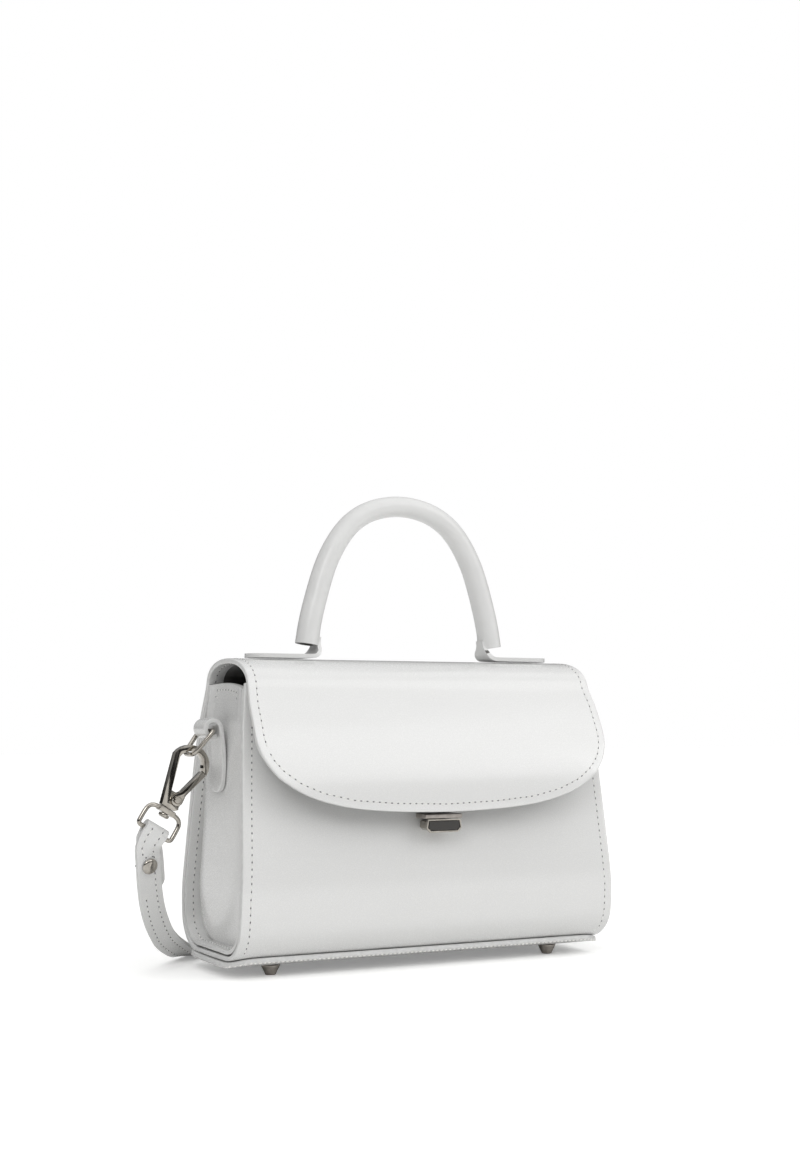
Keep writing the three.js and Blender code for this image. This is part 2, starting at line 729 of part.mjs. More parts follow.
// The snap hook in its own plane: across is x, up along its stem is y, and its depth is z.
function hookSolid() {
  const spineFoot = new THREE.Vector2(-hook.footWidth / 2, 0);
  const heel = new THREE.Vector2(hook.footWidth / 2, 0);
  const outer = arcPoints(headCentre, hook.headRadius, 172, hook.noseAngle.outer, 13);
  const inner = arcPoints(headCentre, headInner, hook.noseAngle.inner, 172, 11);
  const slope = outer[0].clone().sub(spineFoot).normalize();
  const side = new THREE.Vector2(slope.y, -slope.x).multiplyScalar(hook.bar);
  const frame = plate([spineFoot, ...outer, ...inner, spineFoot.clone().add(side)], hook.depth);
  const crotch = pivot.y + gate.earRadius;
  const boss = plate([
    spineFoot,
    spineFoot.clone().addScaledVector(slope, crotch),
    new THREE.Vector2(pivot.x, crotch),
    ...arcPoints(pivot, gate.earRadius, 80, -20, 5),
    new THREE.Vector2(heel.x, hook.footSetback),
    new THREE.Vector2(heel.x - hook.footSetback, 0),
  ], hook.bossDepth);
  const baseTop = pivot.y - gate.earRadius - gap;
  const base = plate([
    spineFoot,
    spineFoot.clone().addScaledVector(slope, baseTop),
    new THREE.Vector2(heel.x, baseTop),
    new THREE.Vector2(heel.x, hook.footSetback),
    new THREE.Vector2(heel.x - hook.footSetback, 0),
  ], hook.depth);
  const neck = new THREE.LatheGeometry([
    new THREE.Vector2(0, -hook.neckLength),
    new THREE.Vector2(hook.capRadius - 0.6, -hook.neckLength),
    new THREE.Vector2(hook.capRadius, -hook.neckLength + 0.6),
    new THREE.Vector2(hook.capRadius, -hook.neckLength + hook.capHeight),
    new THREE.Vector2(hook.neckRadius, -hook.neckLength + hook.capHeight),
    new THREE.Vector2(hook.neckRadius, 0.6),
    new THREE.Vector2(0, 0.6),
  ], 12);
  const bore = pinBore(hook.depth * 2).translate(pivot.x, pivot.y, 0);
  return fromSolid(toSolid(frame).add(toSolid(boss)).add(toSolid(base)).add(toSolid(neck)).subtract(toSolid(bore)));
}

// The gate closes the hook's mouth: a bar from the pivot to the nose, forked over the boss.
function gateSolid() {
  const reach = noseEnd.clone().sub(pivot);
  const length = reach.length() - 1.5 * gap;
  const depth = hook.bossDepth + 2 * (gap + gate.cheek);
  const clear = gate.earRadius + 1;
  const bar = new THREE.BoxGeometry(gate.bar, length - clear, depth).translate(0, (length + clear) / 2, 0);
  const ear = [
    new THREE.Vector2(-gate.bar / 2, clear + 0.5),
    ...arcPoints(new THREE.Vector2(0, 0), gate.earRadius, 150, 390, 10),
    new THREE.Vector2(gate.bar / 2, clear + 0.5),
  ];
  const cheekPlace = hook.bossDepth / 2 + gap + gate.cheek / 2;
  const front = plate(ear, gate.cheek).translate(0, 0, cheekPlace);
  const back = plate(ear, gate.cheek).translate(0, 0, -cheekPlace);
  const solid = toSolid(bar).add(toSolid(front)).add(toSolid(back)).subtract(toSolid(pinBore(depth * 2)));
  const geometry = fromSolid(solid);
  return geometry.rotateZ(-Math.atan2(reach.x, reach.y)).translate(pivot.x, pivot.y, 0);
}

function pinSolid() {
  const half = hook.bossDepth / 2 + gap + gate.cheek + gap;
  const profile = [
    new THREE.Vector2(0, -half - pin.headHeight),
    new THREE.Vector2(pin.headRadius, -half - pin.headHeight),
    new THREE.Vector2(pin.headRadius, -half),
    new THREE.Vector2(pin.radius, -half),
    new THREE.Vector2(pin.radius, half),
    new THREE.Vector2(pin.headRadius, half),
    new THREE.Vector2(pin.headRadius * 0.8, half + pin.headHeight),
    new THREE.Vector2(0, half + pin.headHeight),
  ];
  return new THREE.LatheGeometry(profile, 12).rotateX(Math.PI / 2).translate(pivot.x, pivot.y, 0);
}

// The swivel eye in the hook's frame: a hub round the hook's neck and a wire loop for the strap.
function eyeSolid() {
  const half = (eye.width - eye.wire) / 2;
  const middle = -gap - eye.hubHeight / 2;
  const path = new THREE.Path();
  const low = -eye.height;
  path.moveTo(-eye.hubWidth / 2 + 1, middle);
  path.lineTo(-half + eye.shoulder, middle);
  path.quadraticCurveTo(-half, middle, -half, middle - eye.shoulder);
  path.lineTo(-half, low + 2);
  path.quadraticCurveTo(-half, low, -half + 2, low);
  path.lineTo(half - 2, low);
  path.quadraticCurveTo(half, low, half, low + 2);
  path.lineTo(half, middle - eye.shoulder);
  path.quadraticCurveTo(half, middle, half - eye.shoulder, middle);
  path.lineTo(eye.hubWidth / 2 - 1, middle);
  const points = path.getPoints(4).map((p) => new THREE.Vector3(p.x, p.y, 0));
  const loop = wire(points, new THREE.Vector3(0, 0, 1), eye.wire / 2, 8, false);
  const hub = new THREE.BoxGeometry(eye.hubWidth, eye.hubHeight, hook.depth).translate(0, middle, 0);
  const radius = (hook.neckRadius + gap) / Math.cos(Math.PI / 12);
  const bore = new THREE.CylinderGeometry(radius, radius, eye.hubHeight * 3, 12).translate(0, middle, 0);
  return fromSolid(toSolid(loop).add(toSolid(hub)).subtract(toSolid(bore)));
}

// The frame of a snap hook whose round head hangs on the foot of the left ring.
function hookFrame(side) {
  const angle = THREE.MathUtils.degToRad(side.lean);
  const up = new THREE.Vector3(Math.sin(angle), 0, Math.cos(angle));
  const across = new THREE.Vector3(Math.cos(angle), 0, -Math.sin(angle));
  const depth = across.clone().cross(up);
  const seat = headInner - ring.wire / 2 - 1.2 * gap;
  const origin = ringFrame(side).foot.add(new THREE.Vector3(0, 0, -seat))
    .addScaledVector(across, -headCentre.x).addScaledVector(up, -headCentre.y);
  return { up, across, depth, matrix: new THREE.Matrix4().makeBasis(across, up, depth).setPosition(origin) };
}

const floorLevel = strap.wall / 2 + strap.restHeight;
const foldMean = eye.wire / 2 + 1.4 * gap + strap.wall / 2;
const pinch = (strap.wall + gap) / 2 + 0.05;

// The strap's line from the eye's bar to the floor, with its width and face directions.
function strapFall(side) {
  const frame = hookFrame(side);
  const bar = new THREE.Vector3(0, -eye.height, 0).applyMatrix4(frame.matrix);
  const curve = new THREE.CatmullRomCurve3(side.fall.map((row) => new THREE.Vector3(
    bar.x + row.aside, bar.y + row.back, THREE.MathUtils.lerp(bar.z, floorLevel, row.fall))));
  const total = curve.getLength();
  const end = curve.getTangentAt(1).setZ(0).normalize();
  const flat = new THREE.Vector3(end.y, -end.x, 0);
  const at = (distance) => {
    const share = distance / total;
    const along = curve.getTangentAt(share);
    const hanging = THREE.MathUtils.smoothstep(distance, 3, strap.pinchDrop);
    const lying = THREE.MathUtils.smoothstep(share, 0.8, 1);
    const across = frame.across.clone().lerp(side.hang, hanging).lerp(flat, lying).normalize();
    const face = along.clone().cross(across).normalize();
    return { centre: curve.getPointAt(share), across, face };
  };
  return { frame, bar, total, end, at };
}

// One end of the strap for the left side: the return behind, the fold round the eye's bar, and
// the hanging stretch down to the floor, as stations with centres and width directions.
function strapEnd(side) {
  const fall = strapFall(side);
  const stations = [];
  const half = strap.width / 2;
  const away = fall.frame.depth;
  const down = fall.frame.up.clone().negate();
  const layer = (distance, turn, width) => {
    const spot = fall.at(distance);
    const open = THREE.MathUtils.lerp(foldMean, pinch, THREE.MathUtils.smoothstep(distance, 0, strap.pinchDrop));
    const skew = turn < 0 ? strap.returnSkew * THREE.MathUtils.smoothstep(distance, 0, strap.pinchDrop) : 0;
    const centre = spot.centre.addScaledVector(spot.face, turn * open).addScaledVector(spot.across, skew);
    stations.push({ centre, across: spot.across, half: width });
  };
  const cut = strap.endRadius;
  layer(strap.returnLength, -1, half - cut);
  layer(strap.returnLength - cut, -1, half);
  for (const share of [0.75, 0.6]) layer(strap.returnLength * share, -1, half);
  for (const distance of [strap.rivetDrop, strap.pinchDrop, 8, 4]) layer(distance, -1, half);
  const foldSteps = 8;
  for (let i = 0; i <= foldSteps; i += 1) {
    const angle = Math.PI * (i / foldSteps);
    const centre = fall.bar.clone().addScaledVector(down, -foldMean * Math.sin(angle))
      .addScaledVector(away, -foldMean * Math.cos(angle));
    stations.push({ centre, across: fall.frame.across, half });
  }
  for (const distance of [4, 8, strap.pinchDrop, strap.rivetDrop]) layer(distance, 1, half);
  const steps = 14;
  for (let i = 1; i <= steps; i += 1) {
    const distance = THREE.MathUtils.lerp(strap.rivetDrop, fall.total, i / steps);
    const spot = fall.at(distance);
    const lift = pinch * (1 - THREE.MathUtils.smoothstep(i / steps, 0.3, 1));
    stations.push({ centre: spot.centre.addScaledVector(spot.face, lift), across: spot.across, half });
  }
  const rivetSpot = fall.at(strap.rivetDrop);
  return { stations, frame: fall.frame, end: fall.end, rivetPlace: rivetSpot.centre, away: rivetSpot.face };
}

function flipped(station) {
  const flip = (v) => new THREE.Vector3(-v.x, v.y, v.z);
  return { centre: flip(station.centre), across: flip(station.across).negate(), half: station.half };
}

const leftEnd = strapEnd(leftSide);
const rightEnd = strapEnd(rightSide);

// The whole strap: the left end, the loop on the floor, and the right end backward. The floor
// loop leaves and reaches the ends along their own headings.
function strapStations() {
  const left = leftEnd.stations;
  const right = rightEnd.stations.map(flipped).reverse();
  const route = strapRoute.map((p) => new THREE.Vector3(p.x, p.y, floorLevel));
  const first = left[left.length - 1].centre;
  const last = right[0].centre;
  const lead = 20;
  const away = last.clone().add(new THREE.Vector3(-rightEnd.end.x, rightEnd.end.y, 0).multiplyScalar(lead));
  const curve = new THREE.CatmullRomCurve3(
    [first, first.clone().addScaledVector(leftEnd.end, lead), ...route, away, last]);
  const steps = 44;
  const middle = [];
  for (let i = 1; i < steps; i += 1) {
    const along = curve.getTangentAt(i / steps);
    middle.push({
      centre: curve.getPointAt(i / steps),
      across: new THREE.Vector3(along.y, -along.x, 0),
      half: strap.width / 2,
    });
  }
  return [...left, ...middle, ...right];
}

function rivetGeometry(end) {
  const half = pinch + strap.wall / 2 + 2.2 * gap;
  const profile = [
    new THREE.Vector2(0, -half - 0.8),
    new THREE.Vector2(rivet.capRadius * 0.8, -half - 0.8),
    new THREE.Vector2(rivet.capRadius * 0.8, -half),
    new THREE.Vector2(rivet.shankRadius, -half),
    new THREE.Vector2(rivet.shankRadius, half),
    new THREE.Vector2(rivet.capRadius, half),
    new THREE.Vector2(rivet.capRadius * 0.86, half + rivet.capHeight * 0.6),
    new THREE.Vector2(rivet.capRadius * 0.5, half + rivet.capHeight * 0.92),
    new THREE.Vector2(0, half + rivet.capHeight),
  ];
  const turn = new THREE.Quaternion().setFromUnitVectors(new THREE.Vector3(0, 1, 0), end.away);
  return new THREE.LatheGeometry(profile, 14).applyQuaternion(turn).translate(...end.rivetPlace.toArray());
}

function rivetBore(end) {
  const radius = (rivet.shankRadius + gap) / Math.cos(Math.PI / 12);
  const turn = new THREE.Quaternion().setFromUnitVectors(new THREE.Vector3(0, 1, 0), end.away);
  return new THREE.CylinderGeometry(radius, radius, strap.wall * 5, 12)
    .applyQuaternion(turn).translate(...end.rivetPlace.toArray());
}

function strapSolid() {
  const bare = toSolid(band(strapStations(), strap.wall));
  return fromSolid(bare.subtract(toSolid(rivetBore(leftEnd))).subtract(toSolid(mirrored(rivetBore(rightEnd)))));
}

function claspOutline(inset) {
  const half = clasp.width / 2 - inset;
  const low = claspBottom + inset;
  const high = claspBottom + clasp.height - inset;
  const cut = clasp.chamfer - inset * 0.4;
  return [
    new THREE.Vector2(-half + cut, low),
    new THREE.Vector2(half - cut, low),
    new THREE.Vector2(half, low + cut),
    new THREE.Vector2(half - 0.5, high),
    new THREE.Vector2(-half + 0.5, high),
    new THREE.Vector2(-half, low + cut),
  ];
}

// A flat piece of the clasp, standing between two distances in front of the middle plane.
function claspSlab(outlinePoints, back, front) {
  return plate(outlinePoints, front - back).rotateX(Math.PI / 2).translate(0, -(front + back) / 2, 0);
}

function claspPlate() {
  const whole = claspSlab(claspOutline(0), claspFace - clasp.plateDepth, claspFace);
  const pocket = claspSlab(claspOutline(clasp.rim), claspFace - clasp.enamelDepth - gap, claspFace + 1);
  return fromSolid(toSolid(whole).subtract(toSolid(pocket)));
}

function frontDepthAt(z) {
  return lookUp(outline.map((p) => ({ z: p.y, depth: p.x })), 'z', z, 'depth');
}

function claspBody() {
  const back = frontDepthAt(claspBottom) + gap;
  return claspSlab(claspOutline(0.9), back, claspFace - clasp.plateDepth - gap);
}

function claspCatch() {
  const low = claspBottom + clasp.height + gap;
  const width = clasp.catchWidth;
  const height = Math.min(clasp.catchHeight, flapEdge - low + clasp.catchHeight);
  const back = frontDepthAt(low) + gap;
  return new THREE.BoxGeometry(width, claspFace - gap - back, height)
    .translate(0, -(claspFace - gap + back) / 2, low + height / 2);
}

const whiteLeather = new THREE.MeshStandardMaterial({ color: '#ededec', roughness: 0.28, metalness: 0 });
const nickel = new THREE.MeshStandardMaterial({ color: '#c9c6c0', roughness: 0.18, metalness: 1 });
const gunmetal = new THREE.MeshStandardMaterial({ color: '#9d9b96', roughness: 0.35, metalness: 1 });
const blackEnamel = new THREE.MeshStandardMaterial({ color: '#14120f', roughness: 0.15, metalness: 0 });

const handbag = new THREE.Group();

function place(name, geometry, material, parent = handbag) {
  const mesh = new THREE.Mesh(geometry, material);
  mesh.name = name;
  parent.add(mesh);
  return mesh;
}

place('back_and_flap', backAndFlap(), whiteLeather);
place('front_panel', frontPanel(), whiteLeather);
place('gusset_left', gussetShell(), whiteLeather);
place('gusset_right', mirrored(gussetShell()), whiteLeather);
place('sole', soleShell(), whiteLeather);

for (const [ending, side] of [['left', -1], ['right', 1]]) {
  for (const [end, turn] of [['front', -1], ['back', 1]]) {
    place(`foot_${end}_${ending}`, footSolid(), gunmetal)
      .position.set(side * foot.spacingX / 2, turn * foot.spacingY / 2, 0);
  }
}

place('handle', handleSolid(), whiteLeather);
place('clasp_body', claspBody(), nickel);
place('clasp_plate', claspPlate(), nickel);
place('clasp_enamel', claspSlab(claspOutline(clasp.rim + gap), claspFace - clasp.enamelDepth, claspFace - 0.1),
  blackEnamel);
place('clasp_catch', claspCatch(), gunmetal);

for (const [ending, end, side, settle] of [
  ['left', leftEnd, leftSide, (g) => g],
  ['right', rightEnd, rightSide, mirrored],
]) {
  const hang = (geometry) => settle(geometry.applyMatrix4(end.frame.matrix));
  place(`ring_tab_${ending}`, settle(ringTabBand()), whiteLeather);
  place(`ring_${ending}`, settle(ringWire(side)), nickel);
  place(`hook_${ending}`, hang(hookSolid()), nickel);
  place(`gate_${ending}`, hang(gateSolid()), nickel);
  place(`gate_pin_${ending}`, hang(pinSolid()), nickel);
  place(`swivel_eye_${ending}`, hang(eyeSolid()), nickel);
  place(`strap_rivet_${ending}`, settle(rivetGeometry(end)), nickel);
}

place('shoulder_strap', strapSolid(), whiteLeather);

// The frame's origin is the middle of the whole footprint on the floor.
const footprint = new THREE.Box3().setFromObject(handbag).getCenter(new THREE.Vector3());
handbag.position.set(-footprint.x, -footprint.y, 0);

export default handbag;
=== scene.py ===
"""A white leather handbag, dressed around its CAD frame and laid out as a Blender add-on.

Every piece starts from its CAD node, so it keeps the node's place, and gets here what the
solids leave out: rounded and painted edges, a lining whose dark grey is painted shade for
the inside of the bag, seams with thread and needle holes whose grey dots are painted shade,
and the finishes. Lengths are metres in the frame of the CAD, with +Z up.
"""

import math

import bmesh
import bpy
from mathutils import Matrix, Vector
from mathutils.bvhtree import BVHTree
from mathutils.kdtree import KDTree


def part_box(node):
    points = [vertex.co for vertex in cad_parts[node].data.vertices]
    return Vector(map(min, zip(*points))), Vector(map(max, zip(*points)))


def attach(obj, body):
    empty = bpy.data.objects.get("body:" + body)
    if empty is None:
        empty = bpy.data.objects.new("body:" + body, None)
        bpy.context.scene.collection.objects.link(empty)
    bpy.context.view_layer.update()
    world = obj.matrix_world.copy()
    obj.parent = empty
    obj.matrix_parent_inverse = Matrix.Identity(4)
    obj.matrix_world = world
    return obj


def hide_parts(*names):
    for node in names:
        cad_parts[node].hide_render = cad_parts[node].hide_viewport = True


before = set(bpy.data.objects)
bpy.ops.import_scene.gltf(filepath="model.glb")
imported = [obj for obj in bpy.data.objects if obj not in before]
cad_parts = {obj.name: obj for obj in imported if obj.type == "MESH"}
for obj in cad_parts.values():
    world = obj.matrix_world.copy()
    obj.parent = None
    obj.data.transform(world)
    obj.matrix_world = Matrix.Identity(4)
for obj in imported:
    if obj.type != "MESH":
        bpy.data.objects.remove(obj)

bl_info = {
    "name": "White Leather Handbag",
    "version": (1, 0, 0),
    "blender": (4, 5, 0),
    "location": "3D View > Sidebar > Handbag",
    "description": "Dresses the handbag's CAD frame with leather, seams and polished metal",
    "category": "Add Mesh",
}

MM = 0.001

# Faces of a leather sheet: its good side, its back, and the cut edge between them.
GOOD_SIDE, BACK_SIDE, CUT_EDGE = 0, 1, 2

# Two CAD points closer than this are one point. An edge that turns more than SHARP_TURN is a
# real edge, or more than WIRE_TURN on round wire, whose few facets turn a lot by themselves.
MERGE_DISTANCE = 0.002 * MM
SHARP_TURN = math.radians(58)
WIRE_TURN = math.radians(80)

# A face with this many times the usual thickness of leather behind it is part of a cut edge.
CUT_DEPTH = 1.45

# So is a strip between two sharp edges that is narrower than this many thicknesses.
STRIP_WIDTH = 2.0

# The lining, whose dark grey is painted shade for the inside of the bag, starts this far from the
# bag's middle.
SHADE_LINING_REACH = 92 * MM

# Seams are followed in steps this long before their stitches are spaced out.
SEAM_STEP = 0.5 * MM

# A needle hole is this many threads wide, and it and the thread rise a little over the leather.
# The hole is a grey lump of painted shade, for the shadow in the hole.
# The thread goes this share of a hole into the holes at both its ends.
HOLE_SPREAD = 1.2
HOLE_RISE = 0.09 * MM
THREAD_RISE = 0.16 * MM
THREAD_SINK = 0.7

# A stitch keeps at least this share of the seam's inset from every edge, and the seams of the
# upright sheets end this far above the sole.
CLEAR_SHARE = 0.93
SEAM_END = 2 * MM

SIDES = ("left", "right")


# ---------------------------------------------------------------- sizes and colours


class LeatherSettings(bpy.types.PropertyGroup):
    edge_round: bpy.props.FloatProperty(
        name="Edge rounding", description="How far the cut edges are sanded round",
        default=0.75 * MM, min=0, subtype="DISTANCE", unit="LENGTH")
    smoothing: bpy.props.IntProperty(
        name="Smoothing", description="Subdivision levels of the leather pieces",
        default=2, min=0, max=3)
    grain: bpy.props.FloatProperty(
        name="Grain", description="Size of one cell of the pressed grain",
        default=0.7 * MM, min=0.1 * MM, subtype="DISTANCE", unit="LENGTH")
    colour: bpy.props.FloatVectorProperty(
        name="Leather colour", description="Colour of the polished leather, in sRGB",
        default=(0.862, 0.862, 0.858), size=3, min=0, max=1, subtype="COLOR_GAMMA")
    # The lining's dark grey is painted shade: it stands for the shadow inside the bag.
    lining: bpy.props.FloatVectorProperty(
        name="Lining colour as painted shade", description="Colour of the lining, painted shade for the inside of the bag, in sRGB",
        default=(0.36, 0.355, 0.345), size=3, min=0, max=1, subtype="COLOR_GAMMA")


class SeamSettings(bpy.types.PropertyGroup):
    pitch: bpy.props.FloatProperty(
        name="Stitch pitch", description="Distance from one needle hole to the next",
        default=3.45 * MM, min=1 * MM, subtype="DISTANCE", unit="LENGTH")
    thread: bpy.props.FloatProperty(
        name="Thread", description="Width of the sewing thread",
        default=0.62 * MM, min=0.1 * MM, subtype="DISTANCE", unit="LENGTH")
    hole: bpy.props.FloatProperty(
        name="Needle hole", description="Length of a needle hole along the seam",
        default=1.3 * MM, min=0.1 * MM, subtype="DISTANCE", unit="LENGTH")
    flap_inset: bpy.props.FloatProperty(
        name="Flap seam", description="Distance of the flap's seam from its edge",
        default=4.4 * MM, min=1 * MM, subtype="DISTANCE", unit="LENGTH")
    panel_inset: bpy.props.FloatProperty(
        name="Panel seam", description="Distance of the body's seams from the panel edges",
        default=4.8 * MM, min=1 * MM, subtype="DISTANCE", unit="LENGTH")
    strap_inset: bpy.props.FloatProperty(
        name="Strap seam", description="Distance of the strap's seams from its edges",
        default=3.3 * MM, min=1 * MM, subtype="DISTANCE", unit="LENGTH")


class MetalSettings(bpy.types.PropertyGroup):
    edge_round: bpy.props.FloatProperty(
        name="Edge rounding", description="How far the cast edges are tumbled round",
        default=0.5 * MM, min=0, subtype="DISTANCE", unit="LENGTH")
    foot_rows: bpy.props.IntProperty(
        name="Foot facets", description="Steps of the turned feet round their axis",
        default=48, min=12, max=128)


class StageSettings(bpy.types.PropertyGroup):
    floor_size: bpy.props.FloatProperty(
        name="Floor size", description="Side of the pale floor",
        default=9, min=1, subtype="DISTANCE", unit="LENGTH")
    lens: bpy.props.FloatProperty(
        name="Lens", description="Focal length of the camera in millimetres",
        default=51.6, min=10)


# ---------------------------------------------------------------- materials


def linear(colour):
    """An sRGB colour, as a hex string or three shares, as Blender's linear RGBA."""
    if isinstance(colour, str):
        colour = [int(colour[i:i + 2], 16) / 255 for i in (1, 3, 5)]
    return [c / 12.92 if c <= 0.04045 else ((c + 0.055) / 1.055) ** 2.4 for c in colour] + [1]


def new_material(name):
    """An empty material with its shader: returns the material, its tree and the shader."""
    material = bpy.data.materials.new(name)
    material.use_nodes = True
    tree = material.node_tree
    return material, tree, tree.nodes["Principled BSDF"]


def add_node(tree, kind, settings=None, inputs=None, links=None):
    """Adds a node, sets its properties and sockets, and links other nodes' outputs to it."""
    node = tree.nodes.new(kind)
    for key, value in (settings or {}).items():
        setattr(node, key, value)
    for key, value in (inputs or {}).items():
        node.inputs[key].default_value = value
    for key, output in (links or {}).items():
        tree.links.new(output, node.inputs[key])
    return node


def set_shader(shader, values):
    """Sets the shader's own sockets by name."""
    for key, value in values.items():
        shader.inputs[key].default_value = value


def speckled(tree, coordinates, low, high, scale):
    """A colour that drifts between two shades, as a dyed or sprayed surface does."""
    noise = add_node(tree, "ShaderNodeTexNoise", inputs={"Scale": scale, "Detail": 3.0},
                     links={"Vector": coordinates.outputs["Object"]})
    ramp = add_node(tree, "ShaderNodeValToRGB", links={"Fac": noise.outputs["Fac"]})
    ramp.color_ramp.elements[0].position = 0.35
    ramp.color_ramp.elements[0].color = low
    ramp.color_ramp.elements[1].position = 0.65
    ramp.color_ramp.elements[1].color = high
    return ramp


def polished_leather():
    """Calf leather, sprayed white and glazed under a roller: a clear, tight gloss over a
    very fine grain, with slow waves that bend the reflections."""
    settings = bpy.context.scene.handbag_leather
    material, tree, shader = new_material("Glazed calf leather")
    coordinates = add_node(tree, "ShaderNodeTexCoord")
    white = linear(settings.colour)
    shaded = [c * 0.992 for c in white[:3]] + [1]
    tint = speckled(tree, coordinates, shaded, white, 1 / (28 * MM))
    grain = add_node(tree, "ShaderNodeTexVoronoi",
                     settings={"feature": "DISTANCE_TO_EDGE"},
                     inputs={"Scale": 1 / settings.grain},
                     links={"Vector": coordinates.outputs["Object"]})
    waves = add_node(tree, "ShaderNodeTexNoise", inputs={"Scale": 1 / (22 * MM), "Detail": 1.0},
                     links={"Vector": coordinates.outputs["Object"]})
    pores = add_node(tree, "ShaderNodeMapRange",
                     inputs={"From Max": 0.12, "To Min": 0.40, "To Max": 0.27},
                     links={"Value": grain.outputs["Distance"]})
    slow = add_node(tree, "ShaderNodeBump", inputs={"Strength": 0.5, "Distance": 0.35 * MM},
                    links={"Height": waves.outputs["Fac"]})
    fine = add_node(tree, "ShaderNodeBump", inputs={"Strength": 0.12, "Distance": 0.05 * MM},
                    links={"Height": grain.outputs["Distance"], "Normal": slow.outputs["Normal"]})
    tree.links.new(tint.outputs["Color"], shader.inputs["Base Color"])
    tree.links.new(pores.outputs["Result"], shader.inputs["Roughness"])
    tree.links.new(fine.outputs["Normal"], shader.inputs["Normal"])
    set_shader(shader, {"IOR": 1.5, "Coat Weight": 0.7, "Coat Roughness": 0.13, "Coat IOR": 1.5})
    return material


def rolled_leather():
    """The same leather, pulled round a core by hand: soft creases across the handle."""
    settings = bpy.context.scene.handbag_leather
    material, tree, shader = new_material("Rolled calf leather")
    coordinates = add_node(tree, "ShaderNodeTexCoord")
    white = linear(settings.colour)
    tint = speckled(tree, coordinates, [c * 0.96 for c in white[:3]] + [1], white, 1 / (16 * MM))
    creases = add_node(tree, "ShaderNodeTexNoise",
                       inputs={"Scale": 1 / (7 * MM), "Detail": 2.5, "Distortion": 0.6},
                       links={"Vector": coordinates.outputs["Object"]})
    grain = add_node(tree, "ShaderNodeTexVoronoi",
                     settings={"feature": "DISTANCE_TO_EDGE"},
                     inputs={"Scale": 1 / settings.grain},
                     links={"Vector": coordinates.outputs["Object"]})
    soft = add_node(tree, "ShaderNodeBump", inputs={"Strength": 0.6, "Distance": 0.4 * MM},
                    links={"Height": creases.outputs["Fac"]})
    fine = add_node(tree, "ShaderNodeBump", inputs={"Strength": 0.2, "Distance": 0.05 * MM},
                    links={"Height": grain.outputs["Distance"], "Normal": soft.outputs["Normal"]})
    tree.links.new(tint.outputs["Color"], shader.inputs["Base Color"])
    tree.links.new(fine.outputs["Normal"], shader.inputs["Normal"])
    set_shader(shader, {"Roughness": 0.36, "IOR": 1.5, "Coat Weight": 0.4,
                        "Coat Roughness": 0.18, "Coat IOR": 1.5})
    return material


def painted_edge():
    """Edge paint, rolled on in coats and sanded between them: an even satin skin."""
    material, tree, shader = new_material("Edge paint on leather")
    coordinates = add_node(tree, "ShaderNodeTexCoord")
    white = linear(bpy.context.scene.handbag_leather.colour)
    tint = speckled(tree, coordinates, [c * 0.86 for c in white[:3]] + [1],
                    [c * 0.95 for c in white[:3]] + [1], 1 / (3 * MM))
    coats = add_node(tree, "ShaderNodeTexNoise", inputs={"Scale": 1 / (1.2 * MM)},
                     links={"Vector": coordinates.outputs["Object"]})
    bump = add_node(tree, "ShaderNodeBump", inputs={"Strength": 0.2, "Distance": 0.08 * MM},
                    links={"Height": coats.outputs["Fac"]})
    tree.links.new(tint.outputs["Color"], shader.inputs["Base Color"])
    tree.links.new(bump.outputs["Normal"], shader.inputs["Normal"])
    set_shader(shader, {"Roughness": 0.42, "IOR": 1.5})
    return material


def painted_shade_lining():
    """Microfibre lining, brushed and glued in, with a short nap that takes no gloss: its dark grey
    is painted shade for the inside of the bag.
    """
    material, tree, shader = new_material("Microfibre lining in painted shade")
    coordinates = add_node(tree, "ShaderNodeTexCoord")
    grey = linear(bpy.context.scene.handbag_leather.lining)
    tint = speckled(tree, coordinates, [c * 0.8 for c in grey[:3]] + [1], grey, 1 / (6 * MM))
    nap = add_node(tree, "ShaderNodeTexNoise", inputs={"Scale": 1 / (0.4 * MM), "Detail": 2.0},
                   links={"Vector": coordinates.outputs["Object"]})
    bump = add_node(tree, "ShaderNodeBump", inputs={"Strength": 0.4, "Distance": 0.1 * MM},
                    links={"Height": nap.outputs["Fac"]})
    tree.links.new(tint.outputs["Color"], shader.inputs["Base Color"])
    tree.links.new(bump.outputs["Normal"], shader.inputs["Normal"])
    set_shader(shader, {"Roughness": 0.9, "Sheen Weight": 0.25, "Sheen Roughness": 0.5})
    return material


def sewing_thread():
    """Twisted polyester thread: white, with a silky sheen along its strands."""
    material, tree, shader = new_material("Twisted polyester thread")
    coordinates = add_node(tree, "ShaderNodeTexCoord")
    strands = add_node(tree, "ShaderNodeTexNoise", inputs={"Scale": 1 / (0.3 * MM)},
                       links={"Vector": coordinates.outputs["Object"]})
    tint = speckled(tree, coordinates, linear("#dcdbd8"), linear("#f4f3f0"), 1 / (1 * MM))
    bump = add_node(tree, "ShaderNodeBump", inputs={"Strength": 0.5, "Distance": 0.1 * MM},
                    links={"Height": strands.outputs["Fac"]})
    tree.links.new(tint.outputs["Color"], shader.inputs["Base Color"])
    tree.links.new(bump.outputs["Normal"], shader.inputs["Normal"])
    set_shader(shader, {"Roughness": 0.55, "Sheen Weight": 0.3, "Sheen Roughness": 0.4})
    return material


def needle_hole_shade():
    """The needle hole round the thread as a small grey dot: painted shade, standing for the shadow
    in the hole.
    """
    material, tree, shader = new_material("Needle hole painted shade")
    coordinates = add_node(tree, "ShaderNodeTexCoord")
    tint = speckled(tree, coordinates, linear("#57565a"), linear("#78777a"), 1 / (2 * MM))
    tree.links.new(tint.outputs["Color"], shader.inputs["Base Color"])
    set_shader(shader, {"Roughness": 0.95, "Specular IOR Level": 0.1})
    return material


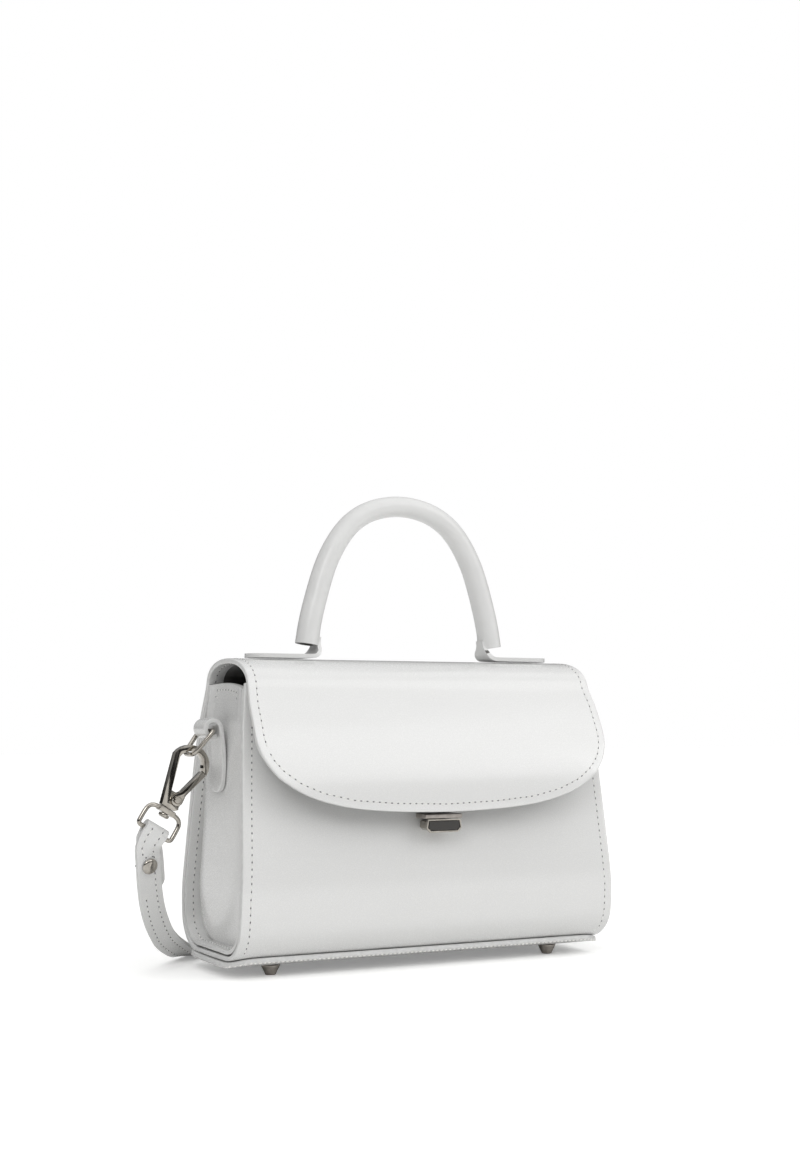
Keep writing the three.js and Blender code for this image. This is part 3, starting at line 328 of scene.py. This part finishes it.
def polished_nickel():
    """Zinc casting, polished and nickel plated: a warm mirror with faint buffing streaks."""
    material, tree, shader = new_material("Polished nickel plate")
    coordinates = add_node(tree, "ShaderNodeTexCoord")
    tint = speckled(tree, coordinates, linear("#a19c94"), linear("#bbb6ae"), 1 / (4 * MM))
    buffing = add_node(tree, "ShaderNodeTexNoise", inputs={"Scale": 1 / (1.5 * MM), "Detail": 4.0},
                       links={"Vector": coordinates.outputs["Object"]})
    gloss = add_node(tree, "ShaderNodeMapRange", inputs={"To Min": 0.04, "To Max": 0.12},
                     links={"Value": buffing.outputs["Fac"]})
    tree.links.new(tint.outputs["Color"], shader.inputs["Base Color"])
    tree.links.new(gloss.outputs["Result"], shader.inputs["Roughness"])
    set_shader(shader, {"Metallic": 1.0})
    return material


def satin_nickel():
    """Turned brass studs, nickel plated and tumbled: a dull grey metal with turning marks."""
    material, tree, shader = new_material("Satin nickel plate")
    coordinates = add_node(tree, "ShaderNodeTexCoord")
    turning = add_node(tree, "ShaderNodeTexWave",
                       settings={"wave_type": "BANDS", "bands_direction": "Z"},
                       inputs={"Scale": 1 / (1.6 * MM), "Distortion": 1.5},
                       links={"Vector": coordinates.outputs["Object"]})
    gloss = add_node(tree, "ShaderNodeMapRange", inputs={"To Min": 0.28, "To Max": 0.42},
                     links={"Value": turning.outputs["Fac"]})
    tint = speckled(tree, coordinates, linear("#a9a29c"), linear("#bcb6b0"), 1 / (3 * MM))
    tree.links.new(tint.outputs["Color"], shader.inputs["Base Color"])
    tree.links.new(gloss.outputs["Result"], shader.inputs["Roughness"])
    set_shader(shader, {"Metallic": 1.0})
    return material


def black_enamel():
    """Epoxy enamel, poured into the plate and cured: near black, wet looking."""
    material, tree, shader = new_material("Poured black enamel")
    coordinates = add_node(tree, "ShaderNodeTexCoord")
    tint = speckled(tree, coordinates, linear("#17130f"), linear("#221d18"), 1 / (2 * MM))
    tree.links.new(tint.outputs["Color"], shader.inputs["Base Color"])
    set_shader(shader, {"Roughness": 0.2, "IOR": 1.53, "Coat Weight": 0.5, "Coat Roughness": 0.05})
    return material


def studio_paper():
    """Seamless background paper: matt and white, with a trace of its pulp."""
    material, tree, shader = new_material("Seamless white paper")
    coordinates = add_node(tree, "ShaderNodeTexCoord")
    tint = speckled(tree, coordinates, linear("#fafaf9"), linear("#fdfdfc"), 1 / (40 * MM))
    tree.links.new(tint.outputs["Color"], shader.inputs["Base Color"])
    path = add_node(tree, "ShaderNodeLightPath")
    lift = add_node(tree, "ShaderNodeMapRange", inputs={"To Max": PAPER_LIFT},
                    links={"Value": path.outputs["Is Camera Ray"]})
    tree.links.new(lift.outputs["Result"], shader.inputs["Emission Strength"])
    set_shader(shader, {"Roughness": 0.9, "Specular IOR Level": 0.1,
                        "Emission Color": linear("#ffffff")})
    return material


FINISHES = {}


def finish_of(make):
    """The material that a function makes, made once."""
    if make not in FINISHES:
        FINISHES[make] = make()
    return FINISHES[make]


# ---------------------------------------------------------------- leather


def clean_copy(*nodes):
    """CAD nodes as one clean mesh: doubles merged and pairs of triangles made quads."""
    bm = bmesh.new()
    for node in nodes:
        bm.from_mesh(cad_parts[node].data)
    bmesh.ops.remove_doubles(bm, verts=bm.verts, dist=MERGE_DISTANCE)
    bmesh.ops.dissolve_degenerate(bm, dist=MERGE_DISTANCE, edges=bm.edges)
    bmesh.ops.join_triangles(bm, faces=bm.faces, angle_face_threshold=math.radians(57),
                             angle_shape_threshold=math.radians(120))
    bm.faces.ensure_lookup_table()
    return bm


def is_sharp(edge, turn=SHARP_TURN):
    """Whether the surface turns a real corner over this edge."""
    return len(edge.link_faces) == 2 and edge.calc_face_angle(0) > turn


def is_strip(face, widest):
    """Whether a face is a narrow strip between two sharp edges."""
    sides = face.edges[:]
    if len(sides) != 4:
        return False
    for i in (0, 1):
        width = (sides[1 - i].calc_length() + sides[3 - i].calc_length()) / 2
        if is_sharp(sides[i]) and is_sharp(sides[i + 2]) and width < widest:
            return True
    return False


def mark_sheet(bm, shows=None):
    """Gives each face of a leather sheet its side. A cut edge is a narrow strip, or has far
    more leather behind it than a side has. Each area between sharp edges is a good side where
    shows(face) is above zero, counted over its area."""
    solid = BVHTree.FromBMesh(bm)
    depth = {}
    for face in bm.faces:
        start = face.calc_center_median() - face.normal * 0.01 * MM
        depth[face] = solid.ray_cast(start, -face.normal)[3] or math.inf
    usual = sorted(depth.values())[len(depth) // 3]
    for face in bm.faces:
        cut = depth[face] > CUT_DEPTH * usual or is_strip(face, STRIP_WIDTH * usual)
        face.material_index = CUT_EDGE if cut else GOOD_SIDE
    if shows is None:
        return
    left = {face for face in bm.faces if face.material_index != CUT_EDGE}
    while left:
        sheet, open_faces = [], [left.pop()]
        while open_faces:
            face = open_faces.pop()
            sheet.append(face)
            near = {n for e in face.edges for n in e.link_faces if n in left and not is_sharp(e)}
            left -= near
            open_faces.extend(near)
        if sum(f.calc_area() * shows(f) for f in sheet) < 0:
            for face in sheet:
                face.material_index = BACK_SIDE


def line_inside_with_shade(bm):
    """Leaves the lining, whose dark grey is painted shade, inside the bag only: the leather's back
    is bare and white where it is turned in along the seams, and on the gussets' flanges."""
    middle = body_centre()
    for side in (-1, 1):
        cut = Vector((middle.x + side * SHADE_LINING_REACH, 0, 0))
        bmesh.ops.bisect_plane(bm, geom=bm.verts[:] + bm.edges[:] + bm.faces[:], plane_co=cut,
                               plane_no=(1, 0, 0), dist=MERGE_DISTANCE)
    for face in bm.faces:
        if face.material_index == BACK_SIDE:
            reach = abs(face.calc_center_median().x - middle.x)
            is_gusset = abs(face.normal.x) > 0.6
            if reach > SHADE_LINING_REACH and not is_gusset:
                face.material_index = GOOD_SIDE


def seam_guides(bm, side):
    """The runs of edges where one side of a sheet meets its cut edge. Each run is a list of
    (point, direction across the sheet away from the edge)."""
    inward = {}
    for edge in bm.edges:
        sides = [face.material_index for face in edge.link_faces]
        if sorted(sides) != sorted((side, CUT_EDGE)):
            continue
        face = edge.link_faces[sides.index(side)]
        along = edge.verts[1].co - edge.verts[0].co
        across = face.normal.cross(along).normalized()
        if across.dot(face.calc_center_median() - edge.verts[0].co) < 0:
            across.negate()
        inward[edge] = across
    runs, left = [], set(inward)
    while left:
        edge = left.pop()
        first, vert = edge.verts
        chain = [edge]
        while vert is not first:
            following = [e for e in vert.link_edges if e in left]
            if not following:
                break
            left.discard(following[0])
            chain.append(following[0])
            vert = following[0].other_vert(vert)
        run, vert = [], first
        for index, step in enumerate(chain):
            mitre = inward[step] + inward[chain[index - 1]]
            mitre *= 2 / max(mitre.length_squared, 1)
            run.append((vert.co.copy(), mitre))
            vert = step.other_vert(vert)
        run.append(run[0])
        runs.append(run)
    return runs


def seam_holes(runs, inset, pitch, surface, keep):
    """Places on the surface, one pitch apart and the inset away from every edge, as lists of
    (point, direction along the seam, normal)."""
    rim, target = [], []
    for run in runs:
        for (start, start_in), (end, end_in) in zip(run, run[1:]):
            steps = max(1, round((end - start).length / SEAM_STEP))
            for step in range(steps):
                point = start.lerp(end, step / steps)
                rim.append(point)
                target.append(point + start_in.lerp(end_in, step / steps) * inset)
        target.append(None)
    tree = KDTree(len(rim))
    for index, point in enumerate(rim):
        tree.insert(point, index)
    tree.balance()
    holes, last, last_hole = [], None, None
    for point in target:
        clear = point is not None and tree.find(point)[2] > inset * CLEAR_SHARE
        place = surface.find_nearest(point)[:2] if clear else (None, None)
        if place[0] is None or not keep(*place):
            last = None if point is None else last
            continue
        spot, normal = place
        if last is None or (spot - last).length > 3 * pitch:
            last = last_hole = spot
            continue
        if (spot - last_hole).length >= pitch:
            along = (spot - last_hole).normalized()
            holes.append((spot, along, normal))
            last_hole = spot
        last = spot
    return holes


def bead(bm, spot, along, normal, size, material):
    """One small rounded lump on a surface: size is along, across and up."""
    across = normal.cross(along).normalized()
    along = across.cross(normal)
    turn = Matrix((along, across, normal)).transposed().to_4x4()
    shape = Matrix.Diagonal((size[0] / 2, size[1] / 2, size[2], 1))
    made = bmesh.ops.create_icosphere(bm, subdivisions=1, radius=1,
                                      matrix=Matrix.Translation(spot) @ turn @ shape)
    for face in {f for v in made["verts"] for f in v.link_faces}:
        face.material_index = material


def sew(name, piece, rows):
    """Sews rows of stitches into a piece. A row is its guides, its inset and a test of where
    it runs. Between two holes the thread lies on the leather."""
    seams = bpy.context.scene.handbag_seams
    surface = BVHTree.FromObject(piece, bpy.context.evaluated_depsgraph_get())
    bm = bmesh.new()
    for runs, inset, keep in rows:
        for spot, along, normal in seam_holes(runs, inset, seams.pitch, surface, keep):
            # Each hole is a grey bead of painted shade, for the shadow where the thread goes in.
            bead(bm, spot, along, normal, (seams.hole, HOLE_SPREAD * seams.thread, HOLE_RISE), 1)
            middle = spot - along * seams.pitch / 2
            on_surface, upright = surface.find_nearest(middle)[:2]
            length = seams.pitch - THREAD_SINK * seams.hole
            bead(bm, on_surface, along, upright, (length, seams.thread, THREAD_RISE), 0)
    if not bm.faces:
        raise RuntimeError(f"{name}: no stitch found its place")
    new_piece(bm, name, "bag",
              (finish_of(sewing_thread), finish_of(needle_hole_shade)))


def new_piece(bm, name, body, materials, nodes=(), levels=0):
    """Makes a mesh object of a bmesh, riding on a CAD body and standing for CAD nodes."""
    mesh = bpy.data.meshes.new(name)
    for face in bm.faces:
        face.smooth = True
    bm.to_mesh(mesh)
    bm.free()
    for material in materials:
        mesh.materials.append(material)
    piece = bpy.data.objects.new(name, mesh)
    bpy.context.scene.collection.objects.link(piece)
    if levels:
        smooth = piece.modifiers.new("Smooth", "SUBSURF")
        smooth.levels = smooth.render_levels = levels
    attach(piece, body)
    if nodes:
        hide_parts(*nodes)
    return piece


def round_edges(bm, offset, segments=2, turn=SHARP_TURN):
    """Rounds every real edge of a mesh."""
    bmesh.ops.bevel(bm, geom=[e for e in bm.edges if is_sharp(e, turn)], offset=offset,
                    offset_type="OFFSET", affect="EDGES", segments=segments, profile=0.5,
                    material=-1, clamp_overlap=True)


def away_from(spot):
    """A measure of how far a face looks away from a spot."""
    return lambda face: face.normal.dot(face.calc_center_median() - spot)


def towards(spot):
    """A measure of how far a face looks towards a spot."""
    return lambda face: face.normal.dot(spot - face.calc_center_median())


def leather_piece(name, node, shows=None, good=polished_leather, back=painted_shade_lining):
    """A leather piece from its CAD node. Returns it with the guides of both its sides."""
    settings = bpy.context.scene.handbag_leather
    bm = clean_copy(node)
    mark_sheet(bm, shows)
    guides = [seam_guides(bm, side) for side in (GOOD_SIDE, BACK_SIDE)]
    if shows is not None:
        line_inside_with_shade(bm)
    round_edges(bm, settings.edge_round)
    piece = new_piece(bm, name, "bag",
                      (finish_of(good), finish_of(back), finish_of(painted_edge)),
                      (node,), settings.smoothing)
    return piece, guides


def body_centre():
    """The middle of the bag's box."""
    low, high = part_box("back_and_flap")
    return (low + high) / 2


class HANDBAG_OT_flap(bpy.types.Operator):
    """Back panel, crown and flap: one sheet, sewn all round near its edge"""
    bl_idname = "handbag.flap"
    bl_label = "Flap and back"

    def execute(self, context):
        inset = context.scene.handbag_seams.flap_inset
        piece, (good, back) = leather_piece("flap_and_back", "back_and_flap",
                                            away_from(body_centre()))
        floor_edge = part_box("sole")[1].z + SEAM_END
        under_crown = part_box("gusset_left")[1].z - 6 * MM
        sew("flap_stitches", piece, (
            (good, inset, lambda spot, normal: spot.z > floor_edge),
            (back, inset, lambda spot, normal: spot.z > under_crown),
        ))
        return {"FINISHED"}


class HANDBAG_OT_front(bpy.types.Operator):
    """Front panel: sewn to the gussets along both its sides"""
    bl_idname = "handbag.front"
    bl_label = "Front panel"

    def execute(self, context):
        piece, (good, _) = leather_piece("front_leather", "front_panel", away_from(body_centre()))
        floor_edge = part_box("sole")[1].z + SEAM_END
        sew("front_stitches", piece, (
            (good, context.scene.handbag_seams.panel_inset,
             lambda spot, normal: spot.z > floor_edge),
        ))
        return {"FINISHED"}


class HANDBAG_OT_gussets(bpy.types.Operator):
    """Gussets: sewn through their flanges and hemmed along the top"""
    bl_idname = "handbag.gussets"
    bl_label = "Gussets"

    def execute(self, context):
        inset = context.scene.handbag_seams.panel_inset
        for side, outward in zip(SIDES, (-1, 1)):
            node = f"gusset_{side}"
            low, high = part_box(node)
            beside = (low + high) / 2 + Vector((outward * (high.x - low.x), 0, 0))
            piece, (good, _) = leather_piece(f"{node}_leather", node, towards(beside))
            top = high.z - 9 * MM
            sew(f"{node}_stitches", piece, (
                (good, inset - 0.6 * MM,
                 lambda spot, normal: abs(normal.x) < 0.6 and spot.z < top),
                (good, 3.4 * MM, lambda spot, normal: abs(normal.x) > 0.6 and spot.z > top),
            ))
        return {"FINISHED"}


class HANDBAG_OT_sole(bpy.types.Operator):
    """Sole: a leather bottom, overcast with thick thread along its lower edge"""
    bl_idname = "handbag.sole"
    bl_label = "Sole"

    def execute(self, context):
        piece, (good, _) = leather_piece("sole_leather", "sole", away_from(body_centre()),
                                         back=polished_leather)
        surface = BVHTree.FromObject(piece, context.evaluated_depsgraph_get())
        bm = bmesh.new()
        pitch = 2.3 * MM
        for spot, along, normal in seam_holes(good, 1.0 * MM, pitch, surface,
                                              lambda spot, normal: True):
            bead(bm, spot, along, normal, (0.8 * pitch, 1.3 * MM, 0.45 * MM), 0)
        new_piece(bm, "sole_stitches", "bag", (finish_of(sewing_thread),))
        return {"FINISHED"}


class HANDBAG_OT_handle(bpy.types.Operator):
    """Handle: leather rolled round a core, dark inside its open ends with the lining's painted
    shade
    """
    bl_idname = "handbag.handle"
    bl_label = "Handle"

    def execute(self, context):
        settings = context.scene.handbag_leather
        bm = clean_copy("handle")
        hollow = BVHTree.FromBMesh(bm)
        for face in bm.faces:
            place = face.calc_center_median()
            seen = hollow.ray_cast(place + face.normal * 0.05 * MM, face.normal, 12 * MM)[3]
            inside = seen is not None and place.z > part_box("handle")[0].z + 5 * MM
            face.material_index = BACK_SIDE if inside else GOOD_SIDE
        round_edges(bm, 0.6 * MM)
        new_piece(bm, "handle_leather", "bag",
                  (finish_of(rolled_leather), finish_of(painted_shade_lining)), ("handle",),
                  settings.smoothing)
        return {"FINISHED"}


class HANDBAG_OT_ring_tabs(bpy.types.Operator):
    """Ring tabs: narrow leather tabs folded round the rings"""
    bl_idname = "handbag.ring_tabs"
    bl_label = "Ring tabs"

    def execute(self, context):
        for side in SIDES:
            node = f"ring_tab_{side}"
            leather_piece(f"{node}_leather", node)
        return {"FINISHED"}


class HANDBAG_OT_strap(bpy.types.Operator):
    """Shoulder strap: two layers, sewn together along both edges"""
    bl_idname = "handbag.strap"
    bl_label = "Shoulder strap"

    def execute(self, context):
        piece, (good, _) = leather_piece("strap_leather", "shoulder_strap")
        sew("strap_stitches", piece, (
            (good, context.scene.handbag_seams.strap_inset, lambda spot, normal: True),
        ))
        return {"FINISHED"}


# ---------------------------------------------------------------- metal


def metal_piece(name, node, body="bag", finish=polished_nickel, edge=None,
                flat=True):
    """A cast metal piece from its CAD node, its edges tumbled round, with or without flats."""
    bm = clean_copy(node)
    bmesh.ops.dissolve_limit(bm, angle_limit=math.radians(0.5), verts=bm.verts, edges=bm.edges)
    round_edges(bm, edge or bpy.context.scene.handbag_metal.edge_round, 3)
    piece = new_piece(bm, name, body, (finish_of(finish),), (node,))
    if flat:
        even = piece.modifiers.new("Even flats", "WEIGHTED_NORMAL")
        even.keep_sharp = True
    return piece


def wire_piece(name, node, finish=polished_nickel):
    """A piece of round metal, smoothed all over."""
    bm = clean_copy(node)
    round_edges(bm, 0.3 * MM, turn=WIRE_TURN)
    return new_piece(bm, name, "bag", (finish_of(finish),), (node,), 2)


class HANDBAG_OT_hooks(bpy.types.Operator):
    """Rings, snap hooks with their gates, and swivel eyes"""
    bl_idname = "handbag.hooks"
    bl_label = "Rings and hooks"

    def execute(self, context):
        for side in SIDES:
            wire_piece(f"ring_{side}_metal", f"ring_{side}")
            wire_piece(f"swivel_eye_{side}_metal", f"swivel_eye_{side}")
            metal_piece(f"hook_{side}_metal", f"hook_{side}", edge=1.3 * MM, flat=False)
            metal_piece(f"gate_{side}_metal", f"gate_{side}", body=f"gate_{side}",
                        edge=0.7 * MM, flat=False)
            metal_piece(f"gate_pin_{side}_metal", f"gate_pin_{side}", edge=0.25 * MM)
        return {"FINISHED"}


class HANDBAG_OT_rivets(bpy.types.Operator):
    """Strap rivets with domed heads"""
    bl_idname = "handbag.rivets"
    bl_label = "Strap rivets"

    def execute(self, context):
        for side in SIDES:
            wire_piece(f"strap_rivet_{side}_metal", f"strap_rivet_{side}")
        return {"FINISHED"}


class HANDBAG_OT_clasp(bpy.types.Operator):
    """Clasp: tongue, framed plate with its enamel, and the catch under the flap"""
    bl_idname = "handbag.clasp"
    bl_label = "Clasp"

    def execute(self, context):
        metal_piece("clasp_body_metal", "clasp_body", edge=0.6 * MM)
        metal_piece("clasp_plate_metal", "clasp_plate", edge=0.25 * MM)
        metal_piece("clasp_enamel_fill", "clasp_enamel",
                    finish=black_enamel, edge=0.15 * MM)
        metal_piece("clasp_catch_metal", "clasp_catch",
                    finish=satin_nickel, edge=0.4 * MM)
        return {"FINISHED"}


class HANDBAG_OT_feet(bpy.types.Operator):
    """Feet: turned studs, wide at the sole and narrow at the floor"""
    bl_idname = "handbag.feet"
    bl_label = "Feet"

    def execute(self, context):
        steps = context.scene.handbag_metal.foot_rows
        for place in ("front_left", "back_left", "front_right", "back_right"):
            node = f"foot_{place}"
            low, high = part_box(node)
            centre = (low + high) / 2
            top, height = (high.x - low.x) / 2, high.z - low.z
            base = max((v.co - centre).xy.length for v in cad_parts[node].data.vertices
                       if v.co.z < low.z + 0.1 * MM)
            profile = ((0, 0), (base - 0.5 * MM, 0), (base - 0.15 * MM, 0.1 * MM),
                       (base, 0.45 * MM), (top - 0.1 * MM, height - 0.5 * MM),
                       (top, height - 0.3 * MM), (top - 0.1 * MM, height), (0, height))
            bm = bmesh.new()
            verts = [bm.verts.new((centre.x + out, centre.y, low.z + up)) for out, up in profile]
            edges = [bm.edges.new(pair) for pair in zip(verts, verts[1:])]
            bmesh.ops.spin(bm, geom=verts + edges, cent=(centre.x, centre.y, low.z),
                           axis=(0, 0, 1), angle=math.tau, steps=steps, use_merge=True)
            bmesh.ops.remove_doubles(bm, verts=bm.verts, dist=MERGE_DISTANCE)
            bmesh.ops.recalc_face_normals(bm, faces=bm.faces)
            piece = new_piece(bm, f"{node}_metal", "bag",
                              (finish_of(satin_nickel),), (node,))
            piece.modifiers.new("Even flats", "WEIGHTED_NORMAL")
        return {"FINISHED"}


# ---------------------------------------------------------------- stage

# Softboxes: where each stands, its side in metres and its power in watts.
SOFTBOXES = (
    {"name": "Left softbox", "at": (-1.5, -1.7, 1.3), "side": 0.8, "power": 8},
    {"name": "Right softbox", "at": (2.0, -1.6, 0.9), "side": 1.2, "power": 6.5},
    {"name": "Front softbox", "at": (0.95, -1.5, 1.1), "side": 1.0, "power": 3},
)

# The ceiling light comes from here and is this many degrees wide.
CEILING = {"toward": (-0.12, 0.44, -0.89), "wide": 100, "strength": 1.12}

# Behind the bag the walls look white. Round the camera the room is dark up to this height, as
# the sine of the angle above the floor, and grows light towards the ceiling.
WALLS = 1.0
DARK_ROOM = {"to": 0.1, "light": 0.03}
LIGHT_ROOM = {"from": 0.6, "light": 0.64}

# The picture is exposed so that the paper looks this much lighter than it is.
PAPER_LIFT = 0.24

CAMERA_PLACE = (-0.42135, -0.94069, 0.1309)
CAMERA_LOOK = (0.45662, 0.88583, 0.08246)


class HANDBAG_OT_stage(bpy.types.Operator):
    """White paper floor, soft studio light and the camera"""
    bl_idname = "handbag.stage"
    bl_label = "Stage"

    def execute(self, context):
        scene = context.scene
        half = scene.handbag_stage.floor_size / 2
        bm = bmesh.new()
        bmesh.ops.create_grid(bm, x_segments=1, y_segments=1, size=half)
        mesh = bpy.data.meshes.new("studio_floor")
        bm.to_mesh(mesh)
        bm.free()
        mesh.materials.append(finish_of(studio_paper))
        floor = bpy.data.objects.new("studio_floor", mesh)
        scene.collection.objects.link(floor)

        aim = body_centre()
        for spec in SOFTBOXES:
            data = bpy.data.lights.new(spec["name"], "AREA")
            data.shape = "SQUARE"
            data.size = spec["side"]
            data.energy = spec["power"]
            light = bpy.data.objects.new(spec["name"], data)
            light.location = spec["at"]
            light.rotation_euler = (aim - light.location).to_track_quat("-Z", "Y").to_euler()
            scene.collection.objects.link(light)
        data = bpy.data.lights.new("Ceiling light", "SUN")
        data.energy = CEILING["strength"]
        data.angle = math.radians(CEILING["wide"])
        light = bpy.data.objects.new("Ceiling light", data)
        light.rotation_euler = Vector(CEILING["toward"]).to_track_quat("-Z", "Y").to_euler()
        scene.collection.objects.link(light)

        world = bpy.data.worlds.new("White studio")
        world.use_nodes = True
        tree = world.node_tree
        path = add_node(tree, "ShaderNodeLightPath")
        sky = add_node(tree, "ShaderNodeTexCoord")
        height = add_node(tree, "ShaderNodeSeparateXYZ", links={"Vector": sky.outputs["Generated"]})
        room = add_node(tree, "ShaderNodeMapRange",
                        inputs={"From Min": DARK_ROOM["to"], "From Max": LIGHT_ROOM["from"],
                                "To Min": DARK_ROOM["light"], "To Max": LIGHT_ROOM["light"]},
                        links={"Value": height.outputs["Z"]})
        strength = add_node(tree, "ShaderNodeMapRange", inputs={"To Max": WALLS},
                            links={"Value": path.outputs["Is Camera Ray"],
                                   "To Min": room.outputs["Result"]})
        background = tree.nodes["Background"]
        background.inputs["Color"].default_value = linear("#ffffff")
        tree.links.new(strength.outputs["Result"], background.inputs["Strength"])
        scene.world = world
        scene.view_settings.view_transform = "Standard"
        scene.view_settings.look = "None"

        lens = bpy.data.cameras.new("Camera")
        lens.sensor_width = 36
        lens.lens = scene.handbag_stage.lens
        camera = bpy.data.objects.new("Camera", lens)
        camera.location = CAMERA_PLACE
        camera.rotation_euler = Vector(CAMERA_LOOK).to_track_quat("-Z", "Y").to_euler()
        scene.collection.objects.link(camera)
        scene.camera = camera
        return {"FINISHED"}


class HANDBAG_PT_panel(bpy.types.Panel):
    """Lists the handbag's pieces and their sizes"""
    bl_idname = "HANDBAG_PT_panel"
    bl_label = "White Leather Handbag"
    bl_space_type = "VIEW_3D"
    bl_region_type = "UI"
    bl_category = "Handbag"

    def draw(self, context):
        scene = context.scene
        for group in GROUPS:
            box = self.layout.box()
            settings = getattr(scene, group)
            for name in settings.__annotations__:
                box.prop(settings, name)
        for operator in OPERATORS:
            self.layout.operator(operator.bl_idname)


GROUPS = {
    "handbag_leather": LeatherSettings,
    "handbag_seams": SeamSettings,
    "handbag_metal": MetalSettings,
    "handbag_stage": StageSettings,
}

OPERATORS = (
    HANDBAG_OT_flap,
    HANDBAG_OT_front,
    HANDBAG_OT_gussets,
    HANDBAG_OT_sole,
    HANDBAG_OT_handle,
    HANDBAG_OT_ring_tabs,
    HANDBAG_OT_strap,
    HANDBAG_OT_hooks,
    HANDBAG_OT_rivets,
    HANDBAG_OT_clasp,
    HANDBAG_OT_feet,
    HANDBAG_OT_stage,
)


def register():
    for cls in (*GROUPS.values(), *OPERATORS, HANDBAG_PT_panel):
        bpy.utils.register_class(cls)
    for name, cls in GROUPS.items():
        setattr(bpy.types.Scene, name, bpy.props.PointerProperty(type=cls))


def unregister():
    for name in GROUPS:
        delattr(bpy.types.Scene, name)
    for cls in (HANDBAG_PT_panel, *OPERATORS, *GROUPS.values()):
        bpy.utils.unregister_class(cls)


def main():
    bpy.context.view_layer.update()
    register()
    for operator in OPERATORS:
        group, name = operator.bl_idname.split(".")
        getattr(getattr(bpy.ops, group), name)()


if __name__ == "__main__":
    main()
